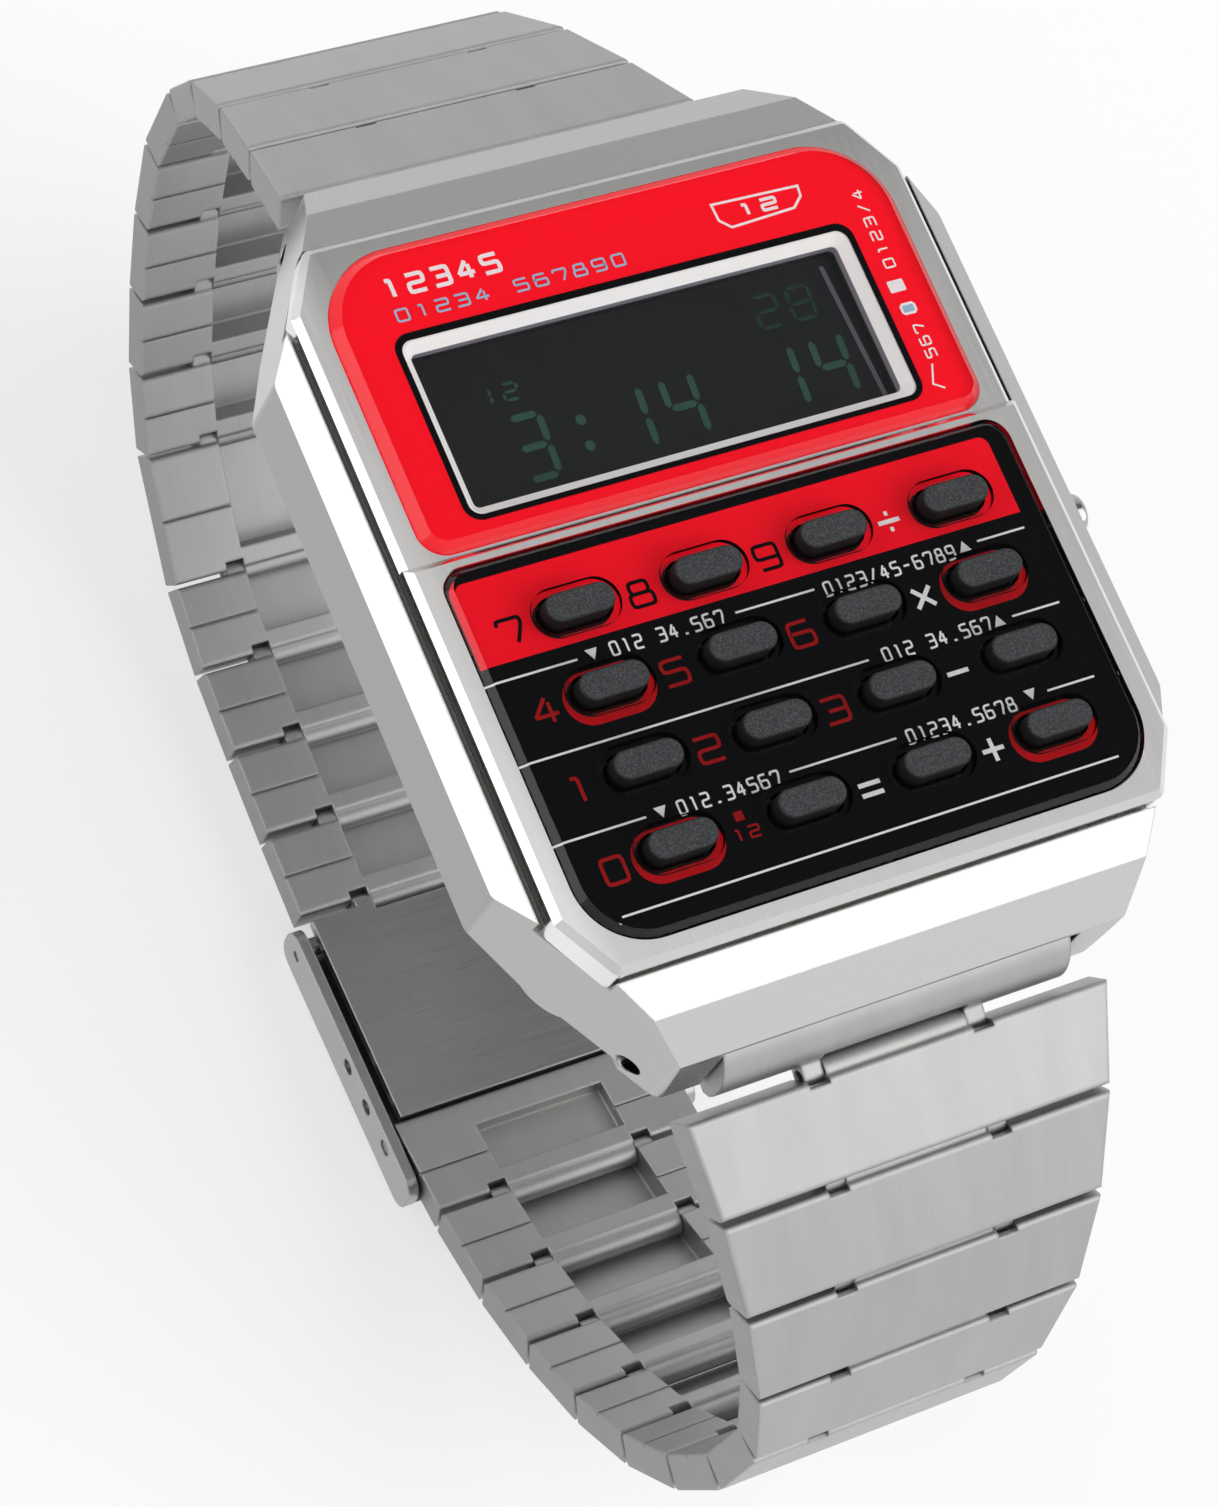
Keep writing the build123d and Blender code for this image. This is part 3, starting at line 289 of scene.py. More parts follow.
def brushed_steel(
    name,
    colour,
    along,
    roughness,
    streak=0.09,
    spread=0.10,
    polished=None,
    polish=0.08,
    rounding=0.0,
):
    """Steel with fine parallel brushing. along is the axis that the strokes follow, streak their
    width, and spread how far their colour strays. polished makes a mask from the surface's
    direction, 0 where the brushing shows and 1 where the metal has the roughness polish and a
    lighter colour, which is a painted highlight."""
    finish = Finish(name, Metallic=1.0, IOR=2.5)
    place = finish.place()
    across = [part / streak for part in place]
    across[along] = place[along] / STROKE_LENGTH
    strokes = finish.noise(*across, detail=3.0, roughness=0.62)
    tone = strokes * 0.75 + finish.grain(CLOUD_SIZE, detail=1.0) * 0.25
    dim, light = shade(colour, 1 - spread), shade(colour, 1 + spread)
    bright = finish.blend(tone.above(0.32, 0.68), dim, light)
    rough = roughness + (strokes - 0.5) * 0.16
    if polished:
        mask = polished(finish.facing())
        # Where the metal is polished its colour is lifted too: a painted highlight.
        bright = finish.blend(mask, bright, shade(colour, 1.12))
        rough = rough * (1 - mask) + mask * polish
        strokes = strokes * (1 - mask)
    finish.set("Base Color", bright)
    finish.set("Roughness", rough)
    finish.bump(strokes, 0.004, 0.35, rounding)
    return finish


def printed_ink(name, colour, roughness=0.5):
    """Screen-printed ink that lies against clear plastic: an even colour with a faint grain and
    no gloss of its own."""
    finish = Finish(name, Specular_IOR_Level=0.0)
    grain = finish.grain(0.12, detail=1.0)
    dim, light = shade(colour, 0.96), shade(colour, 1.03)
    finish.set("Base Color", finish.blend(grain.above(0.3, 0.7), dim, light))
    finish.set("Roughness", roughness + (grain - 0.5) * 0.1)
    return finish


def clear_plate(name, holes=None):
    """A polished clear plate that lets the lamps reach the print under it. The walls of its key
    holes, inside the area holes (half width, low, high), are painted dark as painted shade."""
    white = (1.0, 1.0, 1.0)
    finish = Finish(
        name, Base_Color=white, Transmission_Weight=1.0, IOR=ACRYLIC_IOR, Roughness=0.0
    )
    shadow_ray = finish.add("ShaderNodeLightPath").outputs["Is Shadow Ray"]
    open_to_lamps = finish.add("ShaderNodeBsdfTransparent")
    plate = finish.mix(shadow_ray, finish.shader, open_to_lamps)
    if holes:
        half, low, high = holes
        soft = 0.02
        x, y, _ = finish.place()
        wall = 1 - abs(finish.facing()[2]).above(0.3, 0.4)
        inside = 1 - abs(x).above(half, half + soft)
        inside = inside * y.above(low, low + soft) * (1 - y.above(high, high + soft))
        # The walls of the key holes are painted near black: painted shade.
        dark = {
            "Base Color": screen_colour(9, 9, 11),
            "Roughness": 0.7,
            "Specular IOR Level": 0.1,
        }
        painted_wall_shade = finish.add("ShaderNodeBsdfPrincipled", sockets=dark)
        plate = finish.mix(wall * inside, plate, painted_wall_shade)
    finish.cover(plate)
    return finish


# ---------------- flat marks

CROSSING_STEP = 0.003  # each further stroke of a figure lies this much lower than the one before
CORNER_SHARE = 0.16  # rounding of a figure's corners, as a share of its height
FIGURE_SHARE = 0.62  # width of a figure in a row, as a share of its place


def rounded_loop(left, right, low, high, low_radius, high_radius, steps=10):
    """Corner points of a rounded rectangle, anticlockwise from its lower right corner."""
    loop = []
    for cx, cy, radius, start in (
        (right - low_radius, low + low_radius, low_radius, -90),
        (right - high_radius, high - high_radius, high_radius, 0),
        (left + high_radius, high - high_radius, high_radius, 90),
        (left + low_radius, low + low_radius, low_radius, 180),
    ):
        for step in range(steps + 1):
            turn = math.radians(start + 90 * step / steps)
            loop.append((cx + radius * math.cos(turn), cy + radius * math.sin(turn)))
    return loop


def print_outline(box, radii):
    """Outline of the print in a plate with this box, with its radii below and above."""
    (left, low, _), (right, high, _) = box
    inset = PRINT_INSET
    return rounded_loop(left + inset, right - inset, low + inset, high - inset, *radii)


def stadium(x, y, half_length, half_width):
    """A loop with round ends, centred on x, y."""
    edge = half_width - 0.001
    left, right = x - half_length, x + half_length
    return rounded_loop(left, right, y - half_width, y + half_width, edge, edge, 8)


def sheet_piece(name, loops, base, ink_name):
    """A sheet of print on the height base, with the later loops cut out of the first."""
    curve = bpy.data.curves.new(name, "CURVE")
    curve.dimensions, curve.fill_mode = "2D", "BOTH"
    curve.extrude = GROUND_THICKNESS / 2 * MM
    for loop in loops:
        spline = curve.splines.new("POLY")
        spline.points.add(len(loop) - 1)
        for point, (x, y) in zip(spline.points, loop):
            point.co = (x * MM, y * MM, 0, 1)
        spline.use_cyclic_u = True
    shape = new_object(name + "_curve", curve)
    mesh = plain_mesh(shape)
    bpy.data.objects.remove(shape)
    mesh.transform(Matrix.Translation((0, 0, (base + GROUND_THICKNESS / 2) * MM)))
    return finished(name, mesh, ink(ink_name))


def finished(name, mesh, material):
    """Closes a mesh up, gives it its material and lets it ride on the case."""
    if not mesh.polygons:
        raise RuntimeError(f"{name} came out empty")
    work = bmesh.new()
    work.from_mesh(mesh)
    bmesh.ops.remove_doubles(work, verts=work.verts, dist=1e-7)
    bmesh.ops.recalc_face_normals(work, faces=work.faces)
    work.to_mesh(mesh)
    work.free()
    mesh.name = name
    mesh.materials.clear()
    mesh.materials.append(material)
    piece = new_object(name, mesh)
    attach(piece, CASE_BODY)
    return piece


def soften(points, radius, closed=False):
    """Rounds a line's corners with three points each."""
    result = []
    count = len(points)
    for index, here in enumerate(points):
        if not closed and index in (0, count - 1):
            result.append(here)
            continue
        here = Vector(here)
        before = Vector(points[index - 1]) - here
        after = Vector(points[(index + 1) % count]) - here
        reach = min(radius, before.length / 2.2, after.length / 2.2)
        first, last = here + before.normalized() * reach, here + after.normalized() * reach
        middle = (first + last) / 4 + here / 2
        result += [tuple(first), tuple(middle), tuple(last)]
    return result


class Marks:
    """Collects strokes and patches that are printed in one colour at one height."""

    def __init__(self):
        self.work = bmesh.new()

    def patch(self, loop):
        self.work.faces.new([self.work.verts.new((x * MM, y * MM, 0)) for x, y in loop])

    def dot(self, x, y, half):
        """A square patch, centred on x, y."""
        low, high = y - half, y + half
        self.patch([(x - half, low), (x + half, low), (x + half, high), (x - half, high)])

    def stroke(self, points, width, closed=False, sink=0.0):
        """One line. sink lowers it a little, for lines that cross others."""
        points = [Vector(point) for point in points]
        count = len(points)
        sides = []
        for index, here in enumerate(points):
            ways = []
            if closed or index > 0:
                ways.append((here - points[index - 1]).normalized())
            if closed or index < count - 1:
                ways.append((points[(index + 1) % count] - here).normalized())
            way = sum(ways, Vector((0, 0))).normalized()
            stretch = max(0.5, way.dot(ways[0]))
            offset = Vector((-way.y, way.x)) * (width / 2 / stretch)
            pair = [(*(here + sign * offset) * MM, -sink * MM) for sign in (1, -1)]
            sides.append([self.work.verts.new(corner) for corner in pair])
        for index in range(count if closed else count - 1):
            (a, b), (c, d) = sides[index], sides[(index + 1) % count]
            self.work.faces.new((b, d, c, a))

    def figure(self, name, x, y, width, height, line, turn=0.0):
        """One figure or sign, centred on x, y."""
        cos, sin = math.cos(turn), math.sin(turn)
        for index, (points, closed) in enumerate(FIGURES[name]):
            placed = []
            for u, v in points:
                across, up = (u - 0.5) * width, (v - 0.5) * height
                placed.append((x + across * cos - up * sin, y + across * sin + up * cos))
            placed = soften(placed, CORNER_SHARE * height, closed)
            self.stroke(placed, line, closed, index * CROSSING_STEP)

    def row(self, text, x, y, pitch, height, line, turn=0.0):
        """Figures one after another from x, y on; a blank leaves its place free."""
        for index, sign in enumerate(text):
            if sign != " ":
                reach = (index + 0.5) * pitch
                at = (x + reach * math.cos(turn), y + reach * math.sin(turn))
                self.figure(sign, *at, pitch * FIGURE_SHARE, height - line, line, turn)

    def build(self, name, low, material, slot, thickness=MARK_THICKNESS):
        """Thickens the marks upwards from the height low and makes the piece."""
        for vertex in self.work.verts:
            vertex.co.z += (low + thickness) * MM
        flat = list(self.work.faces)
        raised = bmesh.ops.extrude_face_region(self.work, geom=flat, use_keep_orig=True)
        for item in raised["geom"]:
            if isinstance(item, bmesh.types.BMVert):
                item.co.z = low * MM
        mesh = bpy.data.meshes.new(name)
        self.work.to_mesh(mesh)
        self.work.free()
        return finished(name, mesh, material)


# Strokes of each figure in a unit square, each with a flag for a closed line.
FIGURES = {
    "0": [([(0.04, 0), (0.96, 0), (0.96, 1), (0.04, 1)], True)],
    "1": [([(0.28, 0.96), (0.56, 0.96), (0.56, 0)], False)],
    "2": [([(0, 1), (1, 1), (1, 0.5), (0, 0.5), (0, 0), (1, 0)], False)],
    "3": [([(0, 1), (1, 1), (1, 0), (0, 0)], False), ([(0.2, 0.5), (1, 0.5)], False)],
    "4": [
        ([(0.62, 1), (0, 0.3)], False),
        ([(0, 0.3), (1, 0.3)], False),
        ([(0.7, 0.8), (0.7, 0)], False),
    ],
    "5": [([(1, 1), (0, 1), (0, 0.55), (1, 0.55), (1, 0), (0, 0)], False)],
    "6": [([(0.9, 1), (0, 1), (0, 0), (1, 0), (1, 0.56), (0, 0.56)], False)],
    "7": [([(0, 0.78), (0, 1), (1, 1), (1, 0.72), (0.62, 0)], False)],
    "8": [
        ([(0, 0), (1, 0), (1, 0.52), (0, 0.52)], True),
        ([(0.1, 0.52), (0.9, 0.52), (0.9, 1), (0.1, 1)], True),
    ],
    "9": [([(0.1, 0), (1, 0), (1, 1), (0, 1), (0, 0.44), (1, 0.44)], False)],
    ".": [([(0.3, 0.04), (0.7, 0.04)], False)],
    "/": [([(0.1, 0), (0.9, 1)], False)],
    "-": [([(0.1, 0.5), (0.9, 0.5)], False)],
    "plus": [([(0, 0.5), (1, 0.5)], False), ([(0.5, 0), (0.5, 1)], False)],
    "minus": [([(0, 0.5), (1, 0.5)], False)],
    "times": [([(0.08, 0.08), (0.92, 0.92)], False), ([(0.08, 0.92), (0.92, 0.08)], False)],
    "equals": [([(0, 0.28), (1, 0.28)], False), ([(0, 0.72), (1, 0.72)], False)],
    "divide": [
        ([(0, 0.5), (1, 0.5)], False),
        ([(0.42, 0.86), (0.58, 0.86)], False),
        ([(0.42, 0.14), (0.58, 0.14)], False),
    ],
}


# ---------------- repeated marks

STAMPS = "Flat stamps"


class Recipe(Nodes):
    """A Geometry Nodes tree with named inputs."""

    def __init__(self, name, **inputs):
        super().__init__(bpy.data.node_groups.new(name, "GeometryNodeTree"))
        self.socket("Geometry", "Geometry", "INPUT")
        for label, kind in inputs.items():
            self.socket(label.replace("_", " "), kind, "INPUT")
        self.socket("Geometry", "Geometry", "OUTPUT")
        self.given = self.add("NodeGroupInput").outputs

    def socket(self, label, kind, way):
        self.tree.interface.new_socket(label, in_out=way, socket_type="NodeSocket" + kind)

    def join(self, *shapes):
        node = self.add("GeometryNodeJoinGeometry")
        for shape in shapes:
            self.feed(node.inputs[0], shape)
        return node

    def attribute(self, name):
        """A number that each point carries."""
        kind = "GeometryNodeInputNamedAttribute"
        return self.add(kind, {"data_type": "FLOAT"}, {"Name": name})

    def end(self, geometry):
        solid = self.add("GeometryNodeRealizeInstances", sockets={0: geometry})
        sockets = {"Geometry": solid, "Material": self.given["Material"]}
        dressed = self.add("GeometryNodeSetMaterial", sockets=sockets)
        self.add("NodeGroupOutput", sockets={0: dressed})
        return self.tree


def stamp_recipe():
    """Flat rounded stamps, or rings where Rim is over 0, on every point. The point's numbers turn
    and stretch set how far each is turned and lengthened."""
    recipe = Recipe(
        STAMPS,
        Length="Float",
        Width="Float",
        Corner="Float",
        Corner_steps="Int",
        Rim="Float",
        Thickness="Float",
        Material="Material",
    )
    given = recipe.given

    def outline(length, width, corner):
        rectangle = recipe.add(
            "GeometryNodeCurvePrimitiveQuadrilateral",
            {"mode": "RECTANGLE"},
            {"Width": length, "Height": width},
        )
        sockets = {"Curve": rectangle, "Radius": corner, "Limit Radius": True}
        sockets["Count"] = given["Corner steps"]
        return recipe.add("GeometryNodeFilletCurve", {"mode": "POLY"}, sockets)

    length, width, corner, rim = (
        recipe.level(given[label]) for label in ("Length", "Width", "Corner", "Rim")
    )
    outer = outline(length, width, corner)
    twice = rim * 2.0
    inner = outline(length - twice, width - twice, corner - rim)
    both = recipe.join(outer, inner)
    is_ring = recipe.add("FunctionNodeCompare", {"operation": "GREATER_THAN"}, {0: rim, 1: 0.0})
    sockets = {0: is_ring, 1: outer, 2: both}
    chosen = recipe.add("GeometryNodeSwitch", {"input_type": "GEOMETRY"}, sockets)
    face = recipe.add("GeometryNodeFillCurve", {"mode": "TRIANGLES"}, {0: chosen})
    rise = recipe.add("ShaderNodeCombineXYZ", sockets={2: given["Thickness"]})
    raised = recipe.add(
        "GeometryNodeExtrudeMesh",
        {"mode": "FACES"},
        {"Mesh": face, "Offset": rise, "Offset Scale": 1.0, "Individual": False},
    )
    base = recipe.add("GeometryNodeFlipFaces", sockets={0: face})
    closed = recipe.join(raised.outputs["Mesh"], base)
    sockets = {"Geometry": closed, "Distance": 1e-7}
    stamp = recipe.add("GeometryNodeMergeByDistance", sockets=sockets)
    turn, stretch = recipe.attribute("turn"), recipe.attribute("stretch")
    sockets = {
        "Points": given["Geometry"],
        "Instance": stamp,
        "Rotation": recipe.add("ShaderNodeCombineXYZ", sockets={2: turn}),
        "Scale": recipe.add("ShaderNodeCombineXYZ", sockets={0: stretch, 1: 1.0, 2: 1.0}),
    }
    return recipe.end(recipe.add("GeometryNodeInstanceOnPoints", sockets=sockets))


def stamp_sizes(length, width, corner, thickness, rim=0.0, corner_steps=1):
    """Values for the stamp recipe's inputs."""
    return {
        "Length": length,
        "Width": width,
        "Corner": corner,
        "Corner steps": corner_steps,
        "Rim": rim,
        "Thickness": thickness,
    }


def stamped_piece(name, places, height, sizes, material):
    """Runs the stamp recipe on places (x, y, turn in radians, stretch) at one height."""
    mesh = bpy.data.meshes.new(name + "_points")
    mesh.from_pydata([(x * MM, y * MM, height * MM) for x, y, *_ in places], [], [])
    for label, column in (("turn", 2), ("stretch", 3)):
        layer = mesh.attributes.new(label, "FLOAT", "POINT")
        layer.data.foreach_set("value", [place[column] for place in places])
    carrier = new_object(name + "_carrier", mesh)
    modifier = carrier.modifiers.new("Stamps", "NODES")
    modifier.node_group = bpy.data.node_groups.get(STAMPS) or stamp_recipe()
    values = dict(sizes, Material=material)
    for item in modifier.node_group.interface.items_tree:
        if item.item_type == "SOCKET" and item.in_out == "INPUT" and item.name in values:
            value = values[item.name]
            modifier[item.identifier] = value * MM if isinstance(value, float) else value
    result = plain_mesh(carrier)
    carrier.modifiers.remove(modifier)
    bpy.data.objects.remove(carrier)
    return finished(name, result, material)


# ---------------- settings


def length_setting(name, description, default):
    """A length that a user may change, with its default in millimetres."""
    return bpy.props.FloatProperty(
        name=name, description=description, default=default * MM, unit="LENGTH"
    )


def colour_setting(name, description, default):
    """A colour that a user may change."""
    return bpy.props.FloatVectorProperty(
        name=name, description=description, default=default, subtype="COLOR"
    )


class WATCH_PG_print(bpy.types.PropertyGroup):
    digit_height: length_setting("Figure height", "Height of the printed key figures", 1.15)
    digit_width: length_setting("Figure width", "Width of the printed key figures", 1.12)
    line_width: length_setting("Stroke width", "Width of the strokes of a figure", 0.17)
    rule_width: length_setting("Row line width", "Width of the lines between key rows", 0.1)
    display_height: length_setting("Display figure height", "Height of the display's figures", 3.0)


class WATCH_PG_colours(bpy.types.PropertyGroup):
    red: colour_setting("Red", "Red print on both plates", screen_colour(255, 17, 38))
    dark_red: colour_setting("Dark red", "Key figures on black", screen_colour(158, 22, 24))
    ring_red: colour_setting("Ring red", "Rings round four keys", screen_colour(190, 16, 24))
    black: colour_setting("Black", "Black print on both plates", screen_colour(6, 7, 10))
    white: colour_setting("White", "Lines, signs and numbers", screen_colour(236, 238, 240))
    pale_blue: colour_setting(
        "Pale blue", "Small numbers over the display", screen_colour(150, 190, 220)
    )
    steel: colour_setting("Steel", "Case and bracelet steel", (0.46, 0.456, 0.448))
    rubber: colour_setting("Rubber", "Key rubber", screen_colour(58, 60, 62))
    display: colour_setting("Display", "Resting display", screen_colour(7, 11, 14))
    figures: colour_setting("Display figures", "Lit figures", screen_colour(46, 76, 64))


class WATCH_PG_stage(bpy.types.PropertyGroup):
    floor: colour_setting("Floor", "Floor colour", (0.5, 0.5, 0.5))
    sky: bpy.props.FloatProperty(
        name="Surround", description="Strength of the surrounding light", default=0.9
    )
    top_lamp: bpy.props.FloatProperty(
        name="Top lamp",
        description="Power of the lamp over the dial",
        default=1.08,
        unit="POWER",
    )
    side_lamp: bpy.props.FloatProperty(
        name="Side lamp",
        description="Power of the lamp on the left",
        default=0.38,
        unit="POWER",
    )


def colour(name):
    return tuple(getattr(bpy.context.scene.watch_colours, name))


def ink(name):
    """The printed ink of a named colour, made once."""
    label = "ink_" + name
    return bpy.data.materials.get(label) or printed_ink(label, colour(name)).material


# ---------------- case and plates

KEY_HOLE_AREA = (13.0, -15.2, 0.2)  # half width, low, high


class WATCH_OT_case(bpy.types.Operator):
    """Finishes the case, bezel and buttons in brushed steel with a polish on some faces, with
    painted shade on the case's sides and painted highlights on the case's edges and on the bezel
    """

    bl_idname = "watch.case"
    bl_label = "Case and bezel"

    def execute(self, context):
        steel = colour("steel")
        case = brushed_steel(
            "case_steel",
            shade(steel, 0.93),
            X_AXIS,
            0.30,
            spread=0.03,
            polished=lambda facing: 1 - abs(facing[1]).above(0.55, 0.7) * 0.85,
            polish=0.1,
            rounding=0.12,
        )
        side, ahead, up = case.facing()
        # The case's flat sides get a darker colour: painted shade.
        painted_side_shade = abs(side).above(0.8, 0.95) * (1 - abs(up).above(0.1, 0.2))
        case.tint(painted_side_shade, shade(steel, 0.78))
        # The facets at the front get a lighter colour: a painted highlight.
        front_edge_highlight = (-ahead).above(0.2, 0.4) * up.above(0.1, 0.3)
        case.tint(front_edge_highlight, shade(steel, 1.4))
        # The chamfer on the left gets a much lighter colour: a painted reflection of bright light
        # on the left.
        left_edge_reflection = (-side).above(0.4, 0.5) * up.above(0.2, 0.4)
        case.tint(left_edge_reflection, shade(steel, 1.75))
        case.wear("case")
        # The bezel's colour is lifted to 1.4 times the steel to make up for the dim card that it
        # reflects: painted light.
        bezel = brushed_steel(
            "bezel_steel",
            shade(steel, 1.4),
            Y_AXIS,
            0.4,
            streak=0.07,
            spread=0.04,
            polished=lambda facing: 1 - facing[2].above(0.94, 0.985),
            polish=0.12,
        )
        x, y, _ = bezel.place()
        # The bezel's upper end and its band on the left are lighter still: painted highlights.
        bezel.tint(y.above(13.0, 17.0), shade(steel, 1.15))
        bezel.tint((-x).above(13.5, 15.0), shade(steel, 1.8))
        bezel.wear("bezel")
        buttons = brushed_steel("button_steel", shade(steel, 1.1), X_AXIS, 0.16, spread=0.04)
        buttons.wear("mode_button", "adjust_button")
        return {"FINISHED"}


class WATCH_OT_plates(bpy.types.Operator):
    """Makes the display glass and the keypad plate clear"""

    bl_idname = "watch.plates"
    bl_label = "Clear plates"

    def execute(self, context):
        clear_plate("display_glass_clear").wear("display_glass")
        clear_plate("keypad_plate_clear", KEY_HOLE_AREA).wear("keypad_panel")
        return {"FINISHED"}


# ---------------- display print

GLASS_RADII = (1.27, 3.87)  # of the print's corners, below and above
# Rounded rectangles: left, right, low, high, and the corner radii below and above.
WINDOW_BORDER = (-11.8, 11.8, 3.45, 12.73, 0.85, 0.85)
RED_OPENING = (-11.66, 11.66, 3.58, 12.58, 0.7, 0.7)
RIM_OPENING = (-11.5, 11.5, 3.72, 12.38, 0.6, 0.6)

# Rows of plain numbers: text, start, pitch, height, stroke width and turn.
UPWARD = math.pi / 2
WHITE_ROWS = (
    ("12345", -11.4, 14.95, 1.24, 1.05, 0.2),
    ("12", 6.6, 14.46, 1.2, 0.7, 0.16),
    ("0123/4", 12.88, 9.8, 0.73, 0.6, 0.085, UPWARD),
    ("567", 12.88, 5.1, 0.65, 0.6, 0.085, UPWARD),
)
BLUE_ROW = ("01234 567890", -11.27, 13.6, 0.99, 0.66, 0.1)
NUMBER_FRAME = (
    (5.62, 15.08),
    (10.17, 14.97),
    (10.1, 14.45),
    (9.54, 13.96),
    (6.15, 13.78),
    (5.66, 14.25),
)
HOOK = ((12.7, 4.91), (12.3, 3.96), (12.79, 3.63))
WHITE_SQUARE = (12.72, 9.0)
RINGED_SQUARE = (12.8, 7.8)


class WATCH_OT_display_print(bpy.types.Operator):
    """Prints the red surround and its marks under the display glass"""

    bl_idname = "watch.display_print"
    bl_label = "Display print"

    def execute(self, context):
        slot = "display_glass"
        sheet, top = (GLASS_BOX[0][2] + LAYER_STEP * layer for layer in (1, 2))
        red_loops = [print_outline(GLASS_BOX, GLASS_RADII), rounded_loop(*RED_OPENING)]
        sheet_piece("display_print_red", red_loops, sheet, "red")
        border = [rounded_loop(*WINDOW_BORDER), rounded_loop(*RIM_OPENING)]
        sheet_piece("display_print_border", border, top, "black")
        white, blue = Marks(), Marks()
        for row in WHITE_ROWS:
            white.row(*row)
        white.stroke(NUMBER_FRAME, 0.12, True)
        white.stroke(HOOK, 0.09)
        white.build("display_marks_white", top, ink("white"), slot)
        blue.row(*BLUE_ROW)
        blue.build("display_marks_blue", top, ink("pale_blue"), slot)
        plain = stamp_sizes(0.83, 0.6, 0.04, MARK_THICKNESS)
        ring = stamp_sizes(0.83, 0.6, 0.14, MARK_THICKNESS, rim=0.13)
        inner = stamp_sizes(0.55, 0.32, 0.02, MARK_THICKNESS)
        for name, centre, sizes, tone in (
            ("display_square", WHITE_SQUARE, plain, "white"),
            ("display_square_ring", RINGED_SQUARE, ring, "white"),
            ("display_square_blue", RINGED_SQUARE, inner, "pale_blue"),
        ):
            stamped_piece(name, [(*centre, 0, 1.0)], top, sizes, ink(tone))
        return {"FINISHED"}


# ---------------- keypad

KEY_NAMES = (
    ("key_7", "key_8", "key_9", "key_divide"),
    ("key_4", "key_5", "key_6", "key_times"),
    ("key_1", "key_2", "key_3", "key_minus"),
    ("key_0", "key_point", "key_equals", "key_plus"),
)
KEY_COLUMNS = (-9.065, -2.655, 3.755, 10.165)
KEY_ROWS = (-1.75, -5.53, -9.31, -13.09)
KEY_HOLE = (1.88, 0.88)  # half length and half width of the print's opening for a key
LABEL_COLUMNS = (-12.1, -5.7, 0.72, 7.08)
LABEL_ROWS = (-1.8, -5.65, -9.4, -13.25)
SIGN_SIZE, SIGN_LINE = 1.1, 0.21
POINT_RISE, POINT_HALF = 0.62, 0.22

PANEL_RADII = (3.17, 1.07)
RED_BAND = (-13.85, 13.5, -3.1, 0.85, 0.02, 0.5)  # a rounded rectangle, as those over it
RINGED_KEYS = ((0, 1), (3, 1), (0, 3), (3, 3))  # column and row
RING = (2.23, 1.25)  # half length and half width
RING_SHIFT = (0.1, -0.15)

# Height of each white line, and where its runs start and end.
RULES = (
    (-3.86, ((-14.2, -9.76), (-1.85, 2.2), (10.79, 13.33))),
    (-7.68, ((-14.2, 3.23), (10.81, 13.34))),
    (-11.44, ((-14.2, -9.75), (-2.6, 2.88), (10.85, 13.36))),
    (-15.28, ((-12.63, 12.76),)),
)
# Small numbers between the runs: text and start.
LINE_NUMBERS = (
    ("012 34.567", -8.21, -3.85),
    ("0123/45-6789", 2.57, -4.0),
    ("012 34.567", 3.88, -7.68),
    ("012.34567", -8.3, -11.5),
    ("01234.5678", 3.3, -11.55),
)
LINE_NUMBER_SIZE = (0.585, 0.72, 0.1)  # pitch, height and stroke width
KEY_NUMBER = ("12", -6.45, -13.45, 0.78, 0.62, 0.11)
# Centre of each arrow head, and 1 where it points up or -1 where it points down.
ARROWS = (
    (-8.99, -3.82, -1),
    (10.05, -3.9, 1),
    (10.07, -7.68, 1),
    (-8.99, -11.43, -1),
    (9.99, -11.38, -1),
)
ARROW_HALF_WIDTH, ARROW_HALF_HEIGHT = 0.3, 0.26


def key_hole(x, y):
    """Outline of the hole that the print leaves for a key."""
    return stadium(x, y, *KEY_HOLE)


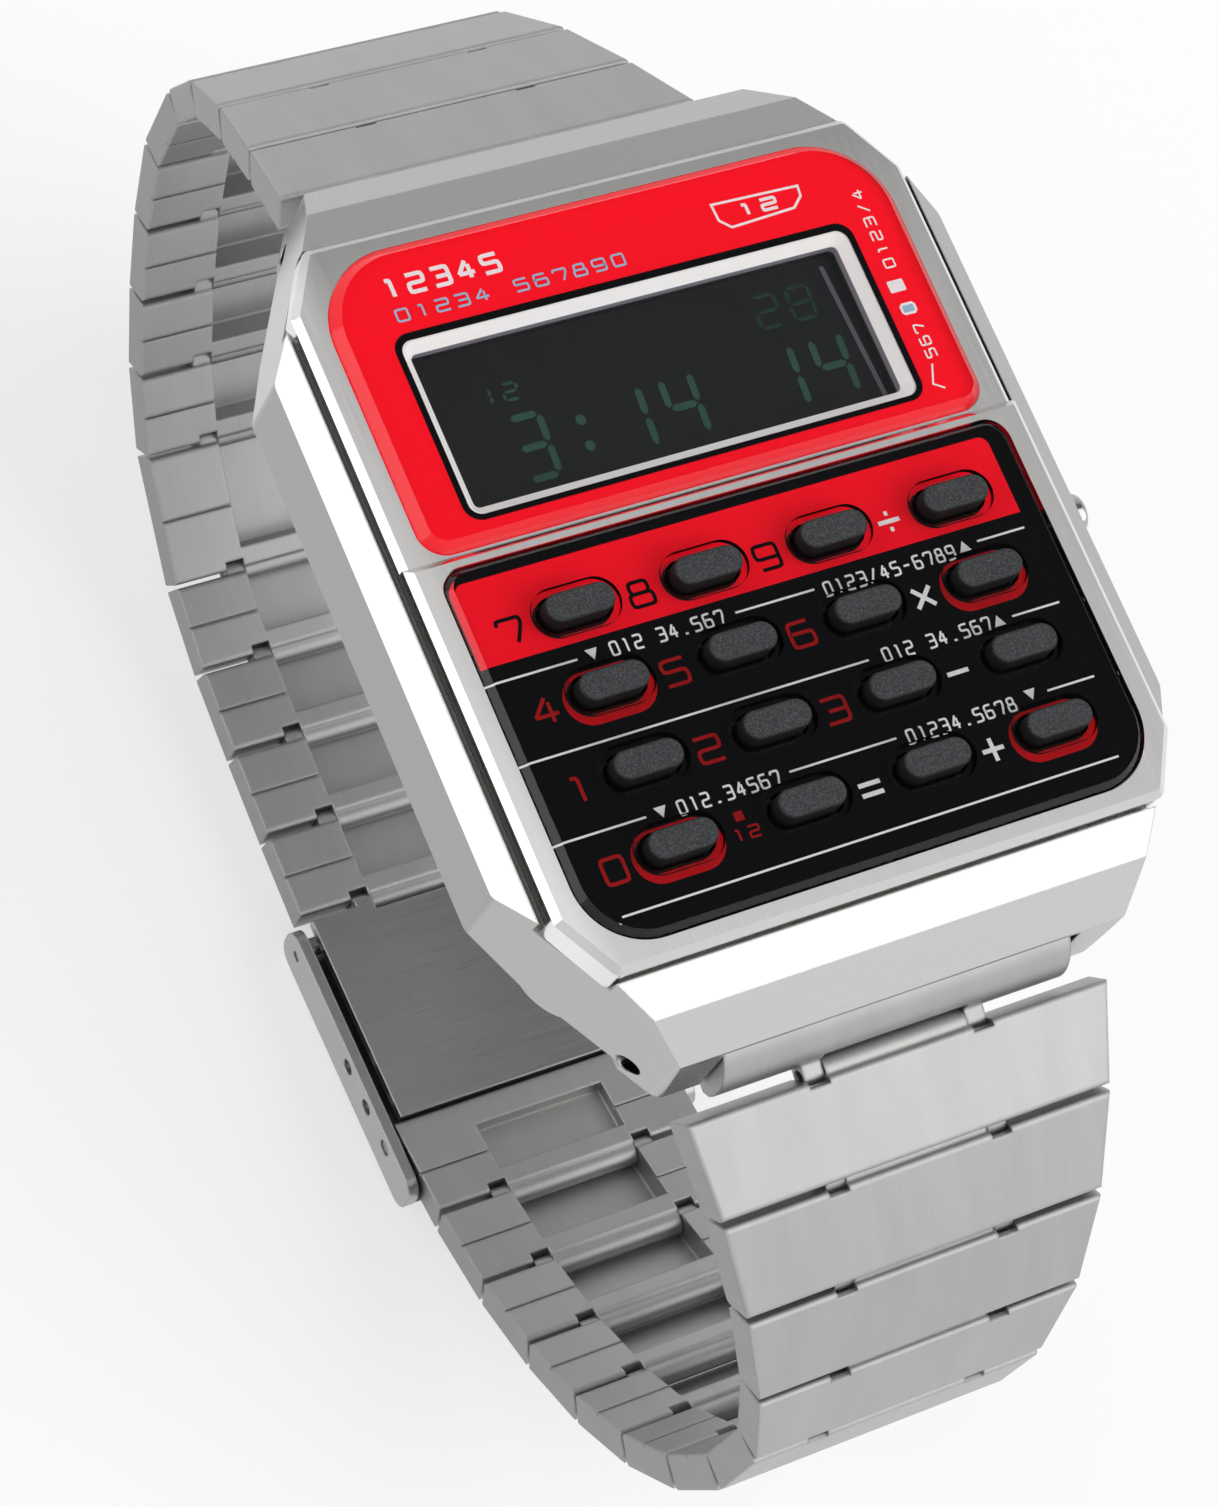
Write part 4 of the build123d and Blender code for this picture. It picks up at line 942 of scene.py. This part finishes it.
class WATCH_OT_keypad_print(bpy.types.Operator):
    """Prints the black and red ground, key rings, figures and row lines under the keypad plate"""

    bl_idname = "watch.keypad_print"
    bl_label = "Keypad print"

    def execute(self, context):
        slot = "keypad_plate"
        settings = context.scene.watch_print
        height = settings.digit_height / MM
        width = settings.digit_width / MM
        line = settings.line_width / MM
        rule = settings.rule_width / MM
        ground, band, mark = (PANEL_BOX[0][2] + LAYER_STEP * layer for layer in (1, 2, 3))
        outline = print_outline(PANEL_BOX, PANEL_RADII)
        holes = [key_hole(x, y) for x in KEY_COLUMNS for y in KEY_ROWS]
        sheet_piece("keypad_print_black", [outline, *holes], ground, "black")
        top_holes = [key_hole(x, KEY_ROWS[0]) for x in KEY_COLUMNS]
        red_loops = [rounded_loop(*RED_BAND), *top_holes]
        sheet_piece("keypad_print_red", red_loops, band, "red")
        rings = []
        for column, row in RINGED_KEYS:
            x, y = KEY_COLUMNS[column], KEY_ROWS[row]
            rings += [stadium(x + RING_SHIFT[0], y + RING_SHIFT[1], *RING), key_hole(x, y)]
        sheet_piece("key_rings_red", rings, mark, "ring_red")
        black, dark, white, arrows = Marks(), Marks(), Marks(), Marks()
        for row, names in enumerate(KEY_NAMES):
            for column, name in enumerate(names):
                sign = name.split("_")[1]
                x, y = LABEL_COLUMNS[column], LABEL_ROWS[row]
                if sign == "point":
                    dark.dot(x, y + POINT_RISE, POINT_HALF)
                elif sign.isdigit():
                    (black if row == 0 else dark).figure(sign, x, y, width, height, line)
                else:
                    white.figure(sign, x, y, SIGN_SIZE, SIGN_SIZE, SIGN_LINE)
        for y, spans in RULES:
            for start, end in spans:
                white.stroke([(start, y), (end, y)], rule)
        for text, x, y in LINE_NUMBERS:
            white.row(text, x, y, *LINE_NUMBER_SIZE)
        dark.row(*KEY_NUMBER)
        for x, y, way in ARROWS:
            rise = ARROW_HALF_HEIGHT * way
            start, end = (x - ARROW_HALF_WIDTH, y - rise), (x + ARROW_HALF_WIDTH, y - rise)
            arrows.patch([start, end, (x, y + rise)][::way])
        for marks, name, tone in (
            (black, "key_figures_black", "black"),
            (dark, "key_figures_red", "dark_red"),
            (white, "keypad_lines_white", "white"),
            (arrows, "keypad_arrows_white", "white"),
        ):
            marks.build(name, mark, ink(tone), slot)
        return {"FINISHED"}


class WATCH_OT_keys(bpy.types.Operator):
    """Finishes the sixteen keys in matte rubber, with painted shade on their sides and specks on
    their tops that are partly dust and partly painted sheen, and the contact sheet in a plain one
    """

    bl_idname = "watch.keys"
    bl_label = "Keys"

    def execute(self, context):
        rubber = colour("rubber")
        finish = Finish("key_rubber", Specular_IOR_Level=0.35)
        grains = finish.grain(0.11, detail=2.0, roughness=0.7)
        patches = finish.grain(0.9, detail=1.0)
        tone = grains.above(0.42, 0.72) * 0.8 + patches * 0.2
        # The keys' sides are near black, partly the black rubber and partly painted shade; their
        # tops carry the specks, partly dust and partly a painted sheen.
        top = finish.facing()[2].above(0.5, 0.95)
        speckle_and_sheen = finish.blend(tone, shade(rubber, 0.42), shade(rubber, 2.0))
        finish.set("Base Color", finish.blend(top, screen_colour(8, 8, 10), speckle_and_sheen))
        finish.set("Roughness", 0.78 + (grains - 0.5) * 0.25)
        finish.bump(grains, 0.05, 0.55)
        finish.wear(*[name for row in KEY_NAMES for name in row])
        sheet = Finish("contact_rubber", Base_Color=screen_colour(120, 122, 126))
        sheet.set("Roughness", 0.7 + sheet.grain(0.5) * 0.15)
        sheet.wear("key_membrane")
        return {"FINISHED"}


# ---------------- display

# The seven bars of a display figure, clockwise from the top and the middle one last.
BARS_OF = {
    "0": (1, 1, 1, 1, 1, 1, 0),
    "1": (0, 1, 1, 0, 0, 0, 0),
    "2": (1, 1, 0, 1, 1, 0, 1),
    "3": (1, 1, 1, 1, 0, 0, 1),
    "4": (0, 1, 1, 0, 0, 1, 1),
    "8": (1, 1, 1, 1, 1, 1, 1),
}
BAR_GAP = 0.46  # between two bars, as a share of a bar's width
BAR_SLANT = 0.06
DISPLAY_BASE = 5.1  # where the large figures stand
# Figures, each with its centre across the display.
TIME_FIGURES = (("3", -6.75), ("1", -1.75), ("4", 0.93), ("1", 6.2), ("4", 8.83))
SMALL_FIGURES = (("1", -8.1), ("2", -6.75))
RESTING_FIGURES = (("2", 6.8), ("8", 8.6))
DOTS_CENTRE, DOTS_REACH = -4.17, 0.64
CELL_EDGE = ((10.62, 4.5), (10.34, 11.4))
# Above these heights the wall carries a painted reflection, dim and then bright.
WALL_DIM_REFLECTION_FROM, WALL_REFLECTION_FROM = 5.7, 6.16  # heights on the wall round the window


def bar_figures(name, figures, base, height, width, bar, material):
    """Display figures made of bars, given as (figure, centre), standing on the line y = base."""
    half = height / 2
    gap = bar * BAR_GAP
    layout = (
        (0, height, True),
        (width / 2, height * 0.75, False),
        (width / 2, height * 0.25, False),
        (0, 0, True),
        (-width / 2, height * 0.25, False),
        (-width / 2, height * 0.75, False),
        (0, half, True),
    )
    upright = math.pi / 2 - math.atan(BAR_SLANT)
    places = []
    for figure, centre in figures:
        for lit, (dx, dy, level_bar) in zip(BARS_OF[figure], layout):
            if lit:
                x = centre + dx + BAR_SLANT * (dy - half)
                stretch = (width - gap) / (half - gap) if level_bar else 1.0
                places.append((x, base + dy, 0.0 if level_bar else upright, stretch))
    sizes = stamp_sizes(half - gap, bar, bar / 2, BAR_THICKNESS)
    stamped_piece(name, places, CELL_FACE, sizes, material)


class WATCH_OT_display(bpy.types.Operator):
    """Finishes the display cell and its rim, whose walls carry painted shade and a painted
    reflection, and draws the time in bars
    """

    bl_idname = "watch.display"
    bl_label = "Display"

    def execute(self, context):
        dark = colour("display")
        finish = Finish("lcd_cell", Specular_IOR_Level=0.25)
        x, y, z = finish.place()
        # Over the cell's face the rim's walls are dark low down, partly a black spacer and partly
        # painted shade, then pale and near white higher up: a painted reflection of the chrome.
        rim = z.above(CELL_FACE + 0.005, CELL_FACE + 0.015)
        pale = z.above(WALL_DIM_REFLECTION_FROM, WALL_DIM_REFLECTION_FROM + 0.1)
        bright = z.above(WALL_REFLECTION_FROM, WALL_REFLECTION_FROM + 0.02)
        drift = finish.noise(x / 3, y / 3, z, detail=1.0)
        ground = finish.blend(drift.above(0.3, 0.7), shade(dark, 0.85), shade(dark, 1.12))
        wall = finish.blend(pale, screen_colour(8, 9, 11), screen_colour(150, 148, 160))
        wall = finish.blend(bright, wall, (0.96, 0.96, 0.95))
        finish.set("Base Color", finish.blend(rim, ground, wall))
        finish.set("Roughness", 0.3 - bright * 0.05)
        finish.wear("lcd_panel")
        tall = context.scene.watch_print.display_height / MM
        lit = printed_ink("lit_bar", colour("figures"), 0.3).material
        resting = printed_ink("resting_bar", shade(colour("figures"), 0.5), 0.3).material
        for name, figures, base, height, width, bar, material in (
            ("display_bars", TIME_FIGURES, DISPLAY_BASE, tall, tall * 0.49, tall * 0.115, lit),
            ("display_half_bars", SMALL_FIGURES, 9.0, 0.8, 0.7, 0.15, lit),
            ("display_resting_bars", RESTING_FIGURES, 9.15, 1.6, 1.15, 0.22, resting),
        ):
            bar_figures(name, figures, base, height, width, bar, material)
        middle = DISPLAY_BASE + tall / 2
        dots = [
            (DOTS_CENTRE + BAR_SLANT * dy, middle + dy, 0.0, 1.0)
            for dy in (-DOTS_REACH, DOTS_REACH)
        ]
        sizes = stamp_sizes(0.5, 0.5, 0.24, BAR_THICKNESS, corner_steps=4)
        stamped_piece("display_dots", dots, CELL_FACE, sizes, lit)
        edge = Marks()
        edge.stroke(CELL_EDGE, 0.24)
        grey = printed_ink("cell_edge", screen_colour(92, 90, 98), 0.3).material
        edge.build("display_cell_edge", CELL_FACE, grey, "lcd", BAR_THICKNESS)
        return {"FINISHED"}


# ---------------- inside, back and bracelet

CHIP_FOOT = 3.61  # height over which the board's node is the chip


class WATCH_OT_inside(bpy.types.Operator):
    """Finishes the module frame, circuit board and coin cell"""

    bl_idname = "watch.inside"
    bl_label = "Inside"

    def execute(self, context):
        moulded = Finish("frame_plastic", Specular_IOR_Level=0.4)
        grain = moulded.grain(0.2)
        tone = moulded.blend(grain, screen_colour(26, 27, 29), screen_colour(44, 45, 48))
        moulded.set("Base Color", tone)
        moulded.set("Roughness", 0.5 + grain * 0.15)
        moulded.bump(grain, 0.01, 0.3)
        moulded.wear("module_frame")
        board = Finish("board_green", Coat_Weight=0.4, Coat_Roughness=0.2)
        x, y, z = board.place()
        tracks = board.noise(x / 0.8, y / 5, z / 5, detail=0.0).above(0.5, 0.53)
        chip = z.above(CHIP_FOOT, CHIP_FOOT + 0.02)
        green = board.blend(tracks, screen_colour(18, 74, 44), screen_colour(30, 104, 62))
        board.set("Base Color", board.blend(chip, green, screen_colour(30, 30, 32)))
        board.set("Roughness", 0.45 - tracks * 0.1)
        board.wear("circuit_board")
        steel = shade(colour("steel"), 1.2)
        brushed_steel("cell_steel", steel, X_AXIS, 0.22, spread=0.04).wear("battery")
        return {"FINISHED"}


class WATCH_OT_back(bpy.types.Operator):
    """Finishes the back cover and its screws"""

    bl_idname = "watch.back"
    bl_label = "Back"

    def execute(self, context):
        steel = colour("steel")
        cover = brushed_steel("back_steel", steel, Y_AXIS, 0.28, streak=0.1, spread=0.07)
        cover.wear("back_cover")
        screws = brushed_steel("screw_steel", shade(steel, 1.1), X_AXIS, 0.15, spread=0.03)
        screws.wear("back_screws")
        return {"FINISHED"}


class WATCH_OT_bracelet(bpy.types.Operator):
    """Finishes the links, end links and clasp in lengthwise brushed steel, with painted shade on
    the links' sides
    """

    bl_idname = "watch.bracelet"
    bl_label = "Bracelet and clasp"

    def execute(self, context):
        steel = colour("steel")
        finish = Finish("link_steel", Metallic=1.0, IOR=2.5)
        x, y, z = finish.place()
        strokes = finish.noise(x / 0.06, y / 3.5, z / 3.5, detail=3.0, roughness=0.65)
        soft = finish.noise(x / 1.6, y / 7, z / 7, detail=2.0)
        tone = strokes * 0.6 + soft * 0.4
        brushed = finish.blend(tone.above(0.3, 0.7), shade(steel, 0.92), shade(steel, 1.08))
        # The links' sides get a darker colour: painted shade.
        painted_side_shade = abs(finish.facing()[0]).above(0.6, 0.9)
        finish.set("Base Color", finish.blend(painted_side_shade, brushed, shade(steel, 0.7)))
        finish.set("Roughness", 0.48 + (strokes - 0.5) * 0.2)
        finish.bump(strokes, 0.005, 0.4, rounding=0.22)
        finish.wear(*[name for name in NODES if "_link" in name])
        clasp = brushed_steel(
            "clasp_steel",
            shade(steel, 0.94),
            X_AXIS,
            0.3,
            streak=0.07,
            spread=0.08,
            rounding=0.15,
        )
        clasp.wear("clasp_cover", "clasp_inner_blade", "clasp_middle_blade")
        return {"FINISHED"}


# ---------------- stage

FLOOR_REACH = 3.0  # metres
FLOOR_GLOW = 0.52  # light that the floor adds for the camera and for reflections
# Brightness of the surround, from level with the watch to straight overhead.
SKY_LEVELS = ((0.0, 1.0), (0.25, 0.95), (0.6, 0.66), (0.9, 0.5), (1.0, 0.5))
DARK_CARD = (0.414, 0.239, 0.878)  # direction of a dim patch that the plates reflect
# Place in metres, size in metres, and the setting that holds the power.
LAMPS = {
    "top_lamp": ((0.17, -0.17, 0.36), (0.4, 0.6), "top_lamp"),
    "left_lamp": ((-0.34, 0.09, 0.17), (0.3, 0.4), "side_lamp"),
}
# The photograph's camera: place in metres, lens, and the directions of the picture's axes.
EYE = (-0.08925, -0.05399, 0.17512)
LENS = 132.02
RIGHT = (0.87019, -0.38701, 0.30494)
DOWN = (-0.26689, -0.89048, -0.36852)
AHEAD = (0.41417, 0.23929, -0.87818)


def add_floor(stage):
    ground = CAD_BOX[0][2]
    corners = ((-1, -1), (1, -1), (1, 1), (-1, 1))
    mesh = bpy.data.meshes.new("floor")
    mesh.from_pydata(
        [(x * FLOOR_REACH, y * FLOOR_REACH, ground) for x, y in corners], [], [(0, 1, 2, 3)]
    )
    floor = new_object("floor", mesh)
    paper = tuple(stage.floor)
    finish = Finish("floor_paper", Base_Color=paper, Roughness=0.9, Specular_IOR_Level=0.2)
    rays = finish.add("ShaderNodeLightPath").outputs
    seen = finish.level(rays["Is Camera Ray"])
    for ray in ("Is Glossy Ray", "Is Transmission Ray"):
        seen = seen.larger(finish.level(rays[ray]))
    light = {"Color": (1.0, 1.0, 1.0), "Strength": FLOOR_GLOW}
    glow = finish.add("ShaderNodeEmission", sockets=light)
    both = finish.add("ShaderNodeAddShader", sockets={0: finish.shader, 1: glow})
    finish.cover(finish.mix(seen, finish.shader, both))
    mesh.materials.append(finish.material)


def add_surround(stage):
    world = bpy.data.worlds.new("studio")
    bpy.context.scene.world = world
    world.use_nodes = True
    world.node_tree.nodes.clear()
    sky = Nodes(world.node_tree)
    height = sky.parts("Generated")[2]
    stops = [(position, (level, level, level * 1.01)) for position, level in SKY_LEVELS]
    ramp = sky.add("ShaderNodeValToRGB", sockets={0: height}, stops=stops)
    direction = sky.add("ShaderNodeTexCoord").outputs["Generated"]
    card = sky.add(
        "ShaderNodeVectorMath", {"operation": "DOT_PRODUCT"}, {0: direction, 1: DARK_CARD}
    )
    shadow = 1 - sky.level(card.outputs["Value"]).above(0.93, 0.985) * 0.75
    strength = shadow * stage.sky
    light = sky.add("ShaderNodeBackground", sockets={"Color": ramp, "Strength": strength})
    sky.add("ShaderNodeOutputWorld", sockets={"Surface": light})


def add_lamps(stage):
    for name, (spot, size, setting) in LAMPS.items():
        lamp = bpy.data.lights.new(name, "AREA")
        lamp.shape, lamp.energy = "RECTANGLE", getattr(stage, setting)
        lamp.size, lamp.size_y = size
        holder = new_object(name, lamp)
        holder.location = spot
        holder.rotation_euler = (-Vector(spot)).to_track_quat("-Z", "Y").to_euler()


def add_camera():
    camera = bpy.data.cameras.new("photo_camera")
    camera.sensor_fit, camera.sensor_width, camera.lens = "HORIZONTAL", 36, LENS
    camera.clip_start, camera.clip_end = 0.01, 20
    holder = new_object("photo_camera", camera)
    turn = Matrix((Vector(RIGHT), -Vector(DOWN), -Vector(AHEAD))).transposed()
    holder.matrix_world = Matrix.Translation(EYE) @ turn.to_4x4()
    bpy.context.scene.camera = holder


class WATCH_OT_stage(bpy.types.Operator):
    """Adds the pale floor, the soft lamps, the surround and the camera"""

    bl_idname = "watch.stage"
    bl_label = "Stage"

    def execute(self, context):
        stage = context.scene.watch_stage
        add_floor(stage)
        add_surround(stage)
        add_lamps(stage)
        add_camera()
        context.scene.view_settings.view_transform = "Standard"
        return {"FINISHED"}


class WATCH_PT_panel(bpy.types.Panel):
    """Lists the watch's pieces and settings"""

    bl_idname = "WATCH_PT_panel"
    bl_label = "Calculator watch"
    bl_space_type = "VIEW_3D"
    bl_region_type = "UI"
    bl_category = "Watch"

    def draw(self, context):
        layout = self.layout
        for operator in OPERATORS:
            layout.operator(operator.bl_idname)
        for settings in GROUPS:
            group = getattr(context.scene, settings)
            box = layout.box()
            for name in group.__annotations__:
                box.prop(group, name)


OPERATORS = (
    WATCH_OT_stage,
    WATCH_OT_case,
    WATCH_OT_plates,
    WATCH_OT_display_print,
    WATCH_OT_keypad_print,
    WATCH_OT_keys,
    WATCH_OT_display,
    WATCH_OT_inside,
    WATCH_OT_back,
    WATCH_OT_bracelet,
)
GROUPS = {
    "watch_print": WATCH_PG_print,
    "watch_colours": WATCH_PG_colours,
    "watch_stage": WATCH_PG_stage,
}


def register():
    for name, group in GROUPS.items():
        bpy.utils.register_class(group)
        setattr(bpy.types.Scene, name, bpy.props.PointerProperty(type=group))
    for operator in OPERATORS:
        bpy.utils.register_class(operator)
    bpy.utils.register_class(WATCH_PT_panel)


def unregister():
    bpy.utils.unregister_class(WATCH_PT_panel)
    for operator in reversed(OPERATORS):
        bpy.utils.unregister_class(operator)
    for name, group in reversed(GROUPS.items()):
        delattr(bpy.types.Scene, name)
        bpy.utils.unregister_class(group)


def main():
    register()
    for operator in OPERATORS:
        group, action = operator.bl_idname.split(".")
        getattr(getattr(bpy.ops, group), action)()


if __name__ == "__main__":
    main()
